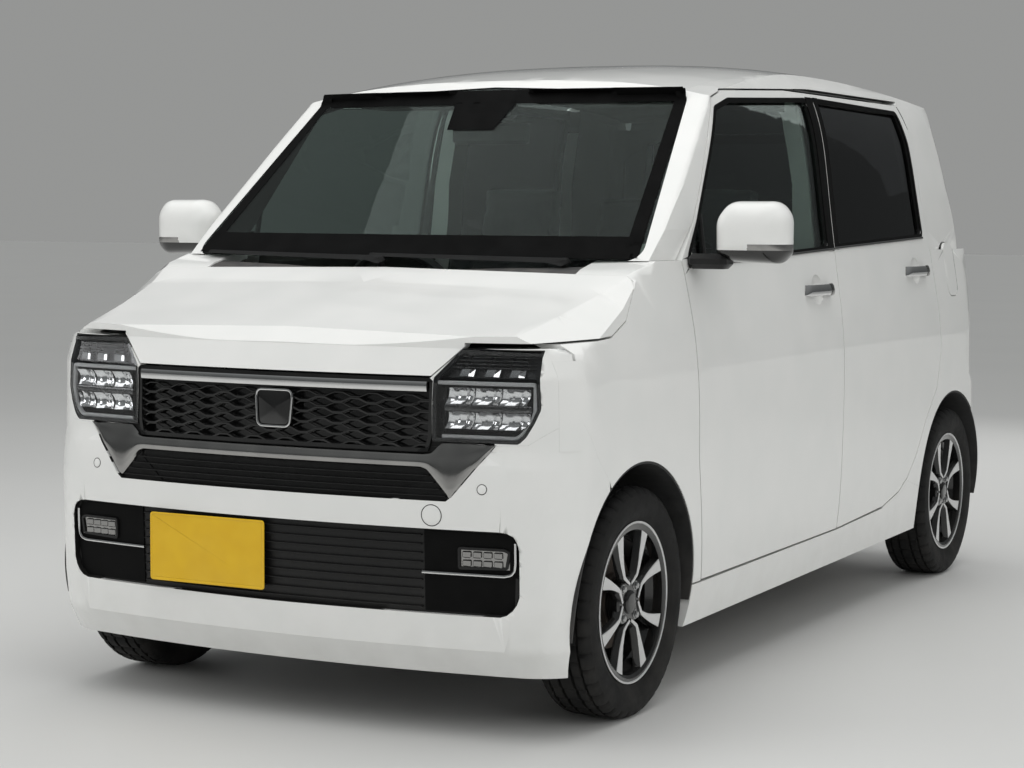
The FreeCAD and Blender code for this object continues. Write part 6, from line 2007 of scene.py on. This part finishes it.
@dataclass
class Tail:
    """Rear lamps' details, plate, garnish, wiper and reflectors."""

    lens_span: tuple = (616, 662)
    plate_half: float = 165.0
    plate_levels: tuple = (735.0, 900.0)
    tray_half: float = 200.0
    tray_levels: tuple = (715, 925)
    border: tuple = ((-512, 1122), (512, 1122), (446, 1486), (-446, 1486))
    wiper_span: tuple = (20, 330)
    wiper_foot: float = 1136.0
    wiper_rise: float = 24.0
    reflector_span: tuple = (505, 615)
    reflector_levels: tuple = (448, 470)
    valance_foot: tuple = ((-310, 158), (310, 158))
    valance_top: tuple = ((-438, 250), (438, 250))

    def lamps(self) -> None:
        """Red lamp bodies with an amber and a white part."""
        body = node_copy("tail_lamps", "tail_lamps_dressed", [Paints.red], 30)
        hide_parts("tail_lamps")
        ride(body, "body")
        skin = Skin("tail_lamps")
        for name, levels, paint in (("turn", (735, 790), Paints.amber), ("reverse", (805, 850), Paints.led)):
            grid = upright_grid(self.lens_span, levels, 9, 7)
            piece = make_piece(f"tail_lamp_{name}_left", *laid(skin, grid, Along.REAR, 0.8, 3.0), paint)
            ride_pair(piece, "body")

    def plate(self, skin: Skin) -> None:
        """The blank plate on its dark tray, leaning with the tailgate."""
        half = self.tray_half
        tray = laid(skin, upright_grid((-half, half), self.tray_levels, 9, 17), Along.REAR, 1.0, 3.0)
        ride(make_piece("rear_plate_tray", *tray, Paints.satin), "tailgate")
        low, high = self.plate_levels
        back = skin.hit(np.array([(0.0, low), (0.0, high)]), Along.REAR)[0][:, 1]
        half = self.plate_half
        ring = rounded([(-half, low), (half, low), (half, high), (-half, high)], 9, 6)
        loops = []
        for by, y in ((0, 2.0), (0, 5.0), (1, 5.5), (4, 5.5), (5.5, 4.6), (8.0, 4.6)):
            flat = inset(ring, by)
            behind = np.interp(flat[:, 1], self.plate_levels, back)
            loops.append(np.column_stack([flat[:, 0], behind + y, flat[:, 1]]))
        ride(make_piece("number_plate_rear", *stacked(loops), Paints.plate), "tailgate")

    def gate(self) -> None:
        """Plate, garnish, high lamp, wiper and the glass's black border."""
        skin = Skin("tailgate", "tailgate_glass")
        self.plate(skin)
        for name, z, half, wide, deep, paint in (("rear_garnish", 950, 330, 34, 12, Paints.chrome),
                                                 ("high_lamp", 1572, 110, 14, 5, Paints.red)):
            hit, normal = skin.hit(level_line(half, z, 41), Along.REAR)
            piece = make_piece(name, *carried(hit, normal, bar_profile(wide, deep)), paint)
            ride(piece, "tailgate")
        outline = resampled(rounded(self.border, 30, 8), 200, True)
        border = laid(Skin("tailgate_glass"), ringed(outline, 0.0, 30.0, 4), Along.REAR, 0.7, 1.2, True)
        ride(make_piece("rear_border", *border, Paints.frit), "tailgate")
        self.wiper(skin)

    def wiper(self, skin: Skin) -> None:
        """The rear wiper: pivot block, arm and blade along the foot of the glass."""
        rise = self.wiper_foot + self.wiper_rise * np.linspace(0, 1, 25) ** 0.5
        hit, normal = skin.hit(np.column_stack([np.linspace(*self.wiper_span, 25), rise]), Along.REAR)
        y = float(hit[0, 1])
        parts = [carried(hit + normal * 9.0, normal, bar_profile(13.0, 5.0)),
                 carried(hit[6:] + normal[6:] * 1.2, normal[6:], bar_profile(5.0, 8.0)),
                 block((-2, y - 12, 1118), (44, y + 14, 1150), 6.0)]
        ride(make_piece("rear_wiper", *merged(parts), Paints.satin), "tailgate")

    def bumper(self) -> None:
        """Red reflectors and the dark lower edge of the rear bumper."""
        skin = Skin("rear_bumper")
        grid = upright_grid(self.reflector_span, self.reflector_levels, 5, 13)
        piece = make_piece("rear_reflector_left", *laid(skin, grid, Along.REAR, 1.2, 4.0), Paints.red)
        ride_pair(piece, "body")
        valance = laid(skin, ruled(self.valance_foot, self.valance_top, 49, 9), Along.REAR, 0.8, 3.0)
        ride(make_piece("rear_valance", *valance, Paints.grained), "body")

    def build(self) -> None:
        """Builds the rear's pieces."""
        self.lamps()
        self.gate()
        self.bumper()


def main() -> None:
    """Builds the studio and every sub-assembly of the car."""
    logging.basicConfig(level=logging.INFO, format="%(message)s")
    Studio().build()
    dress_nodes()
    nose, side = NoseFace(), SideFace()
    for assembly in (Panels(nose, side), Headlamp(nose), FrontFace(nose), Wheel(), SideTrim(side), Screen(),
                     Cabin(), Tail()):
        LOG.info("building %s", type(assembly).__name__)
        assembly.build()


if __name__ == "__main__":
    main()
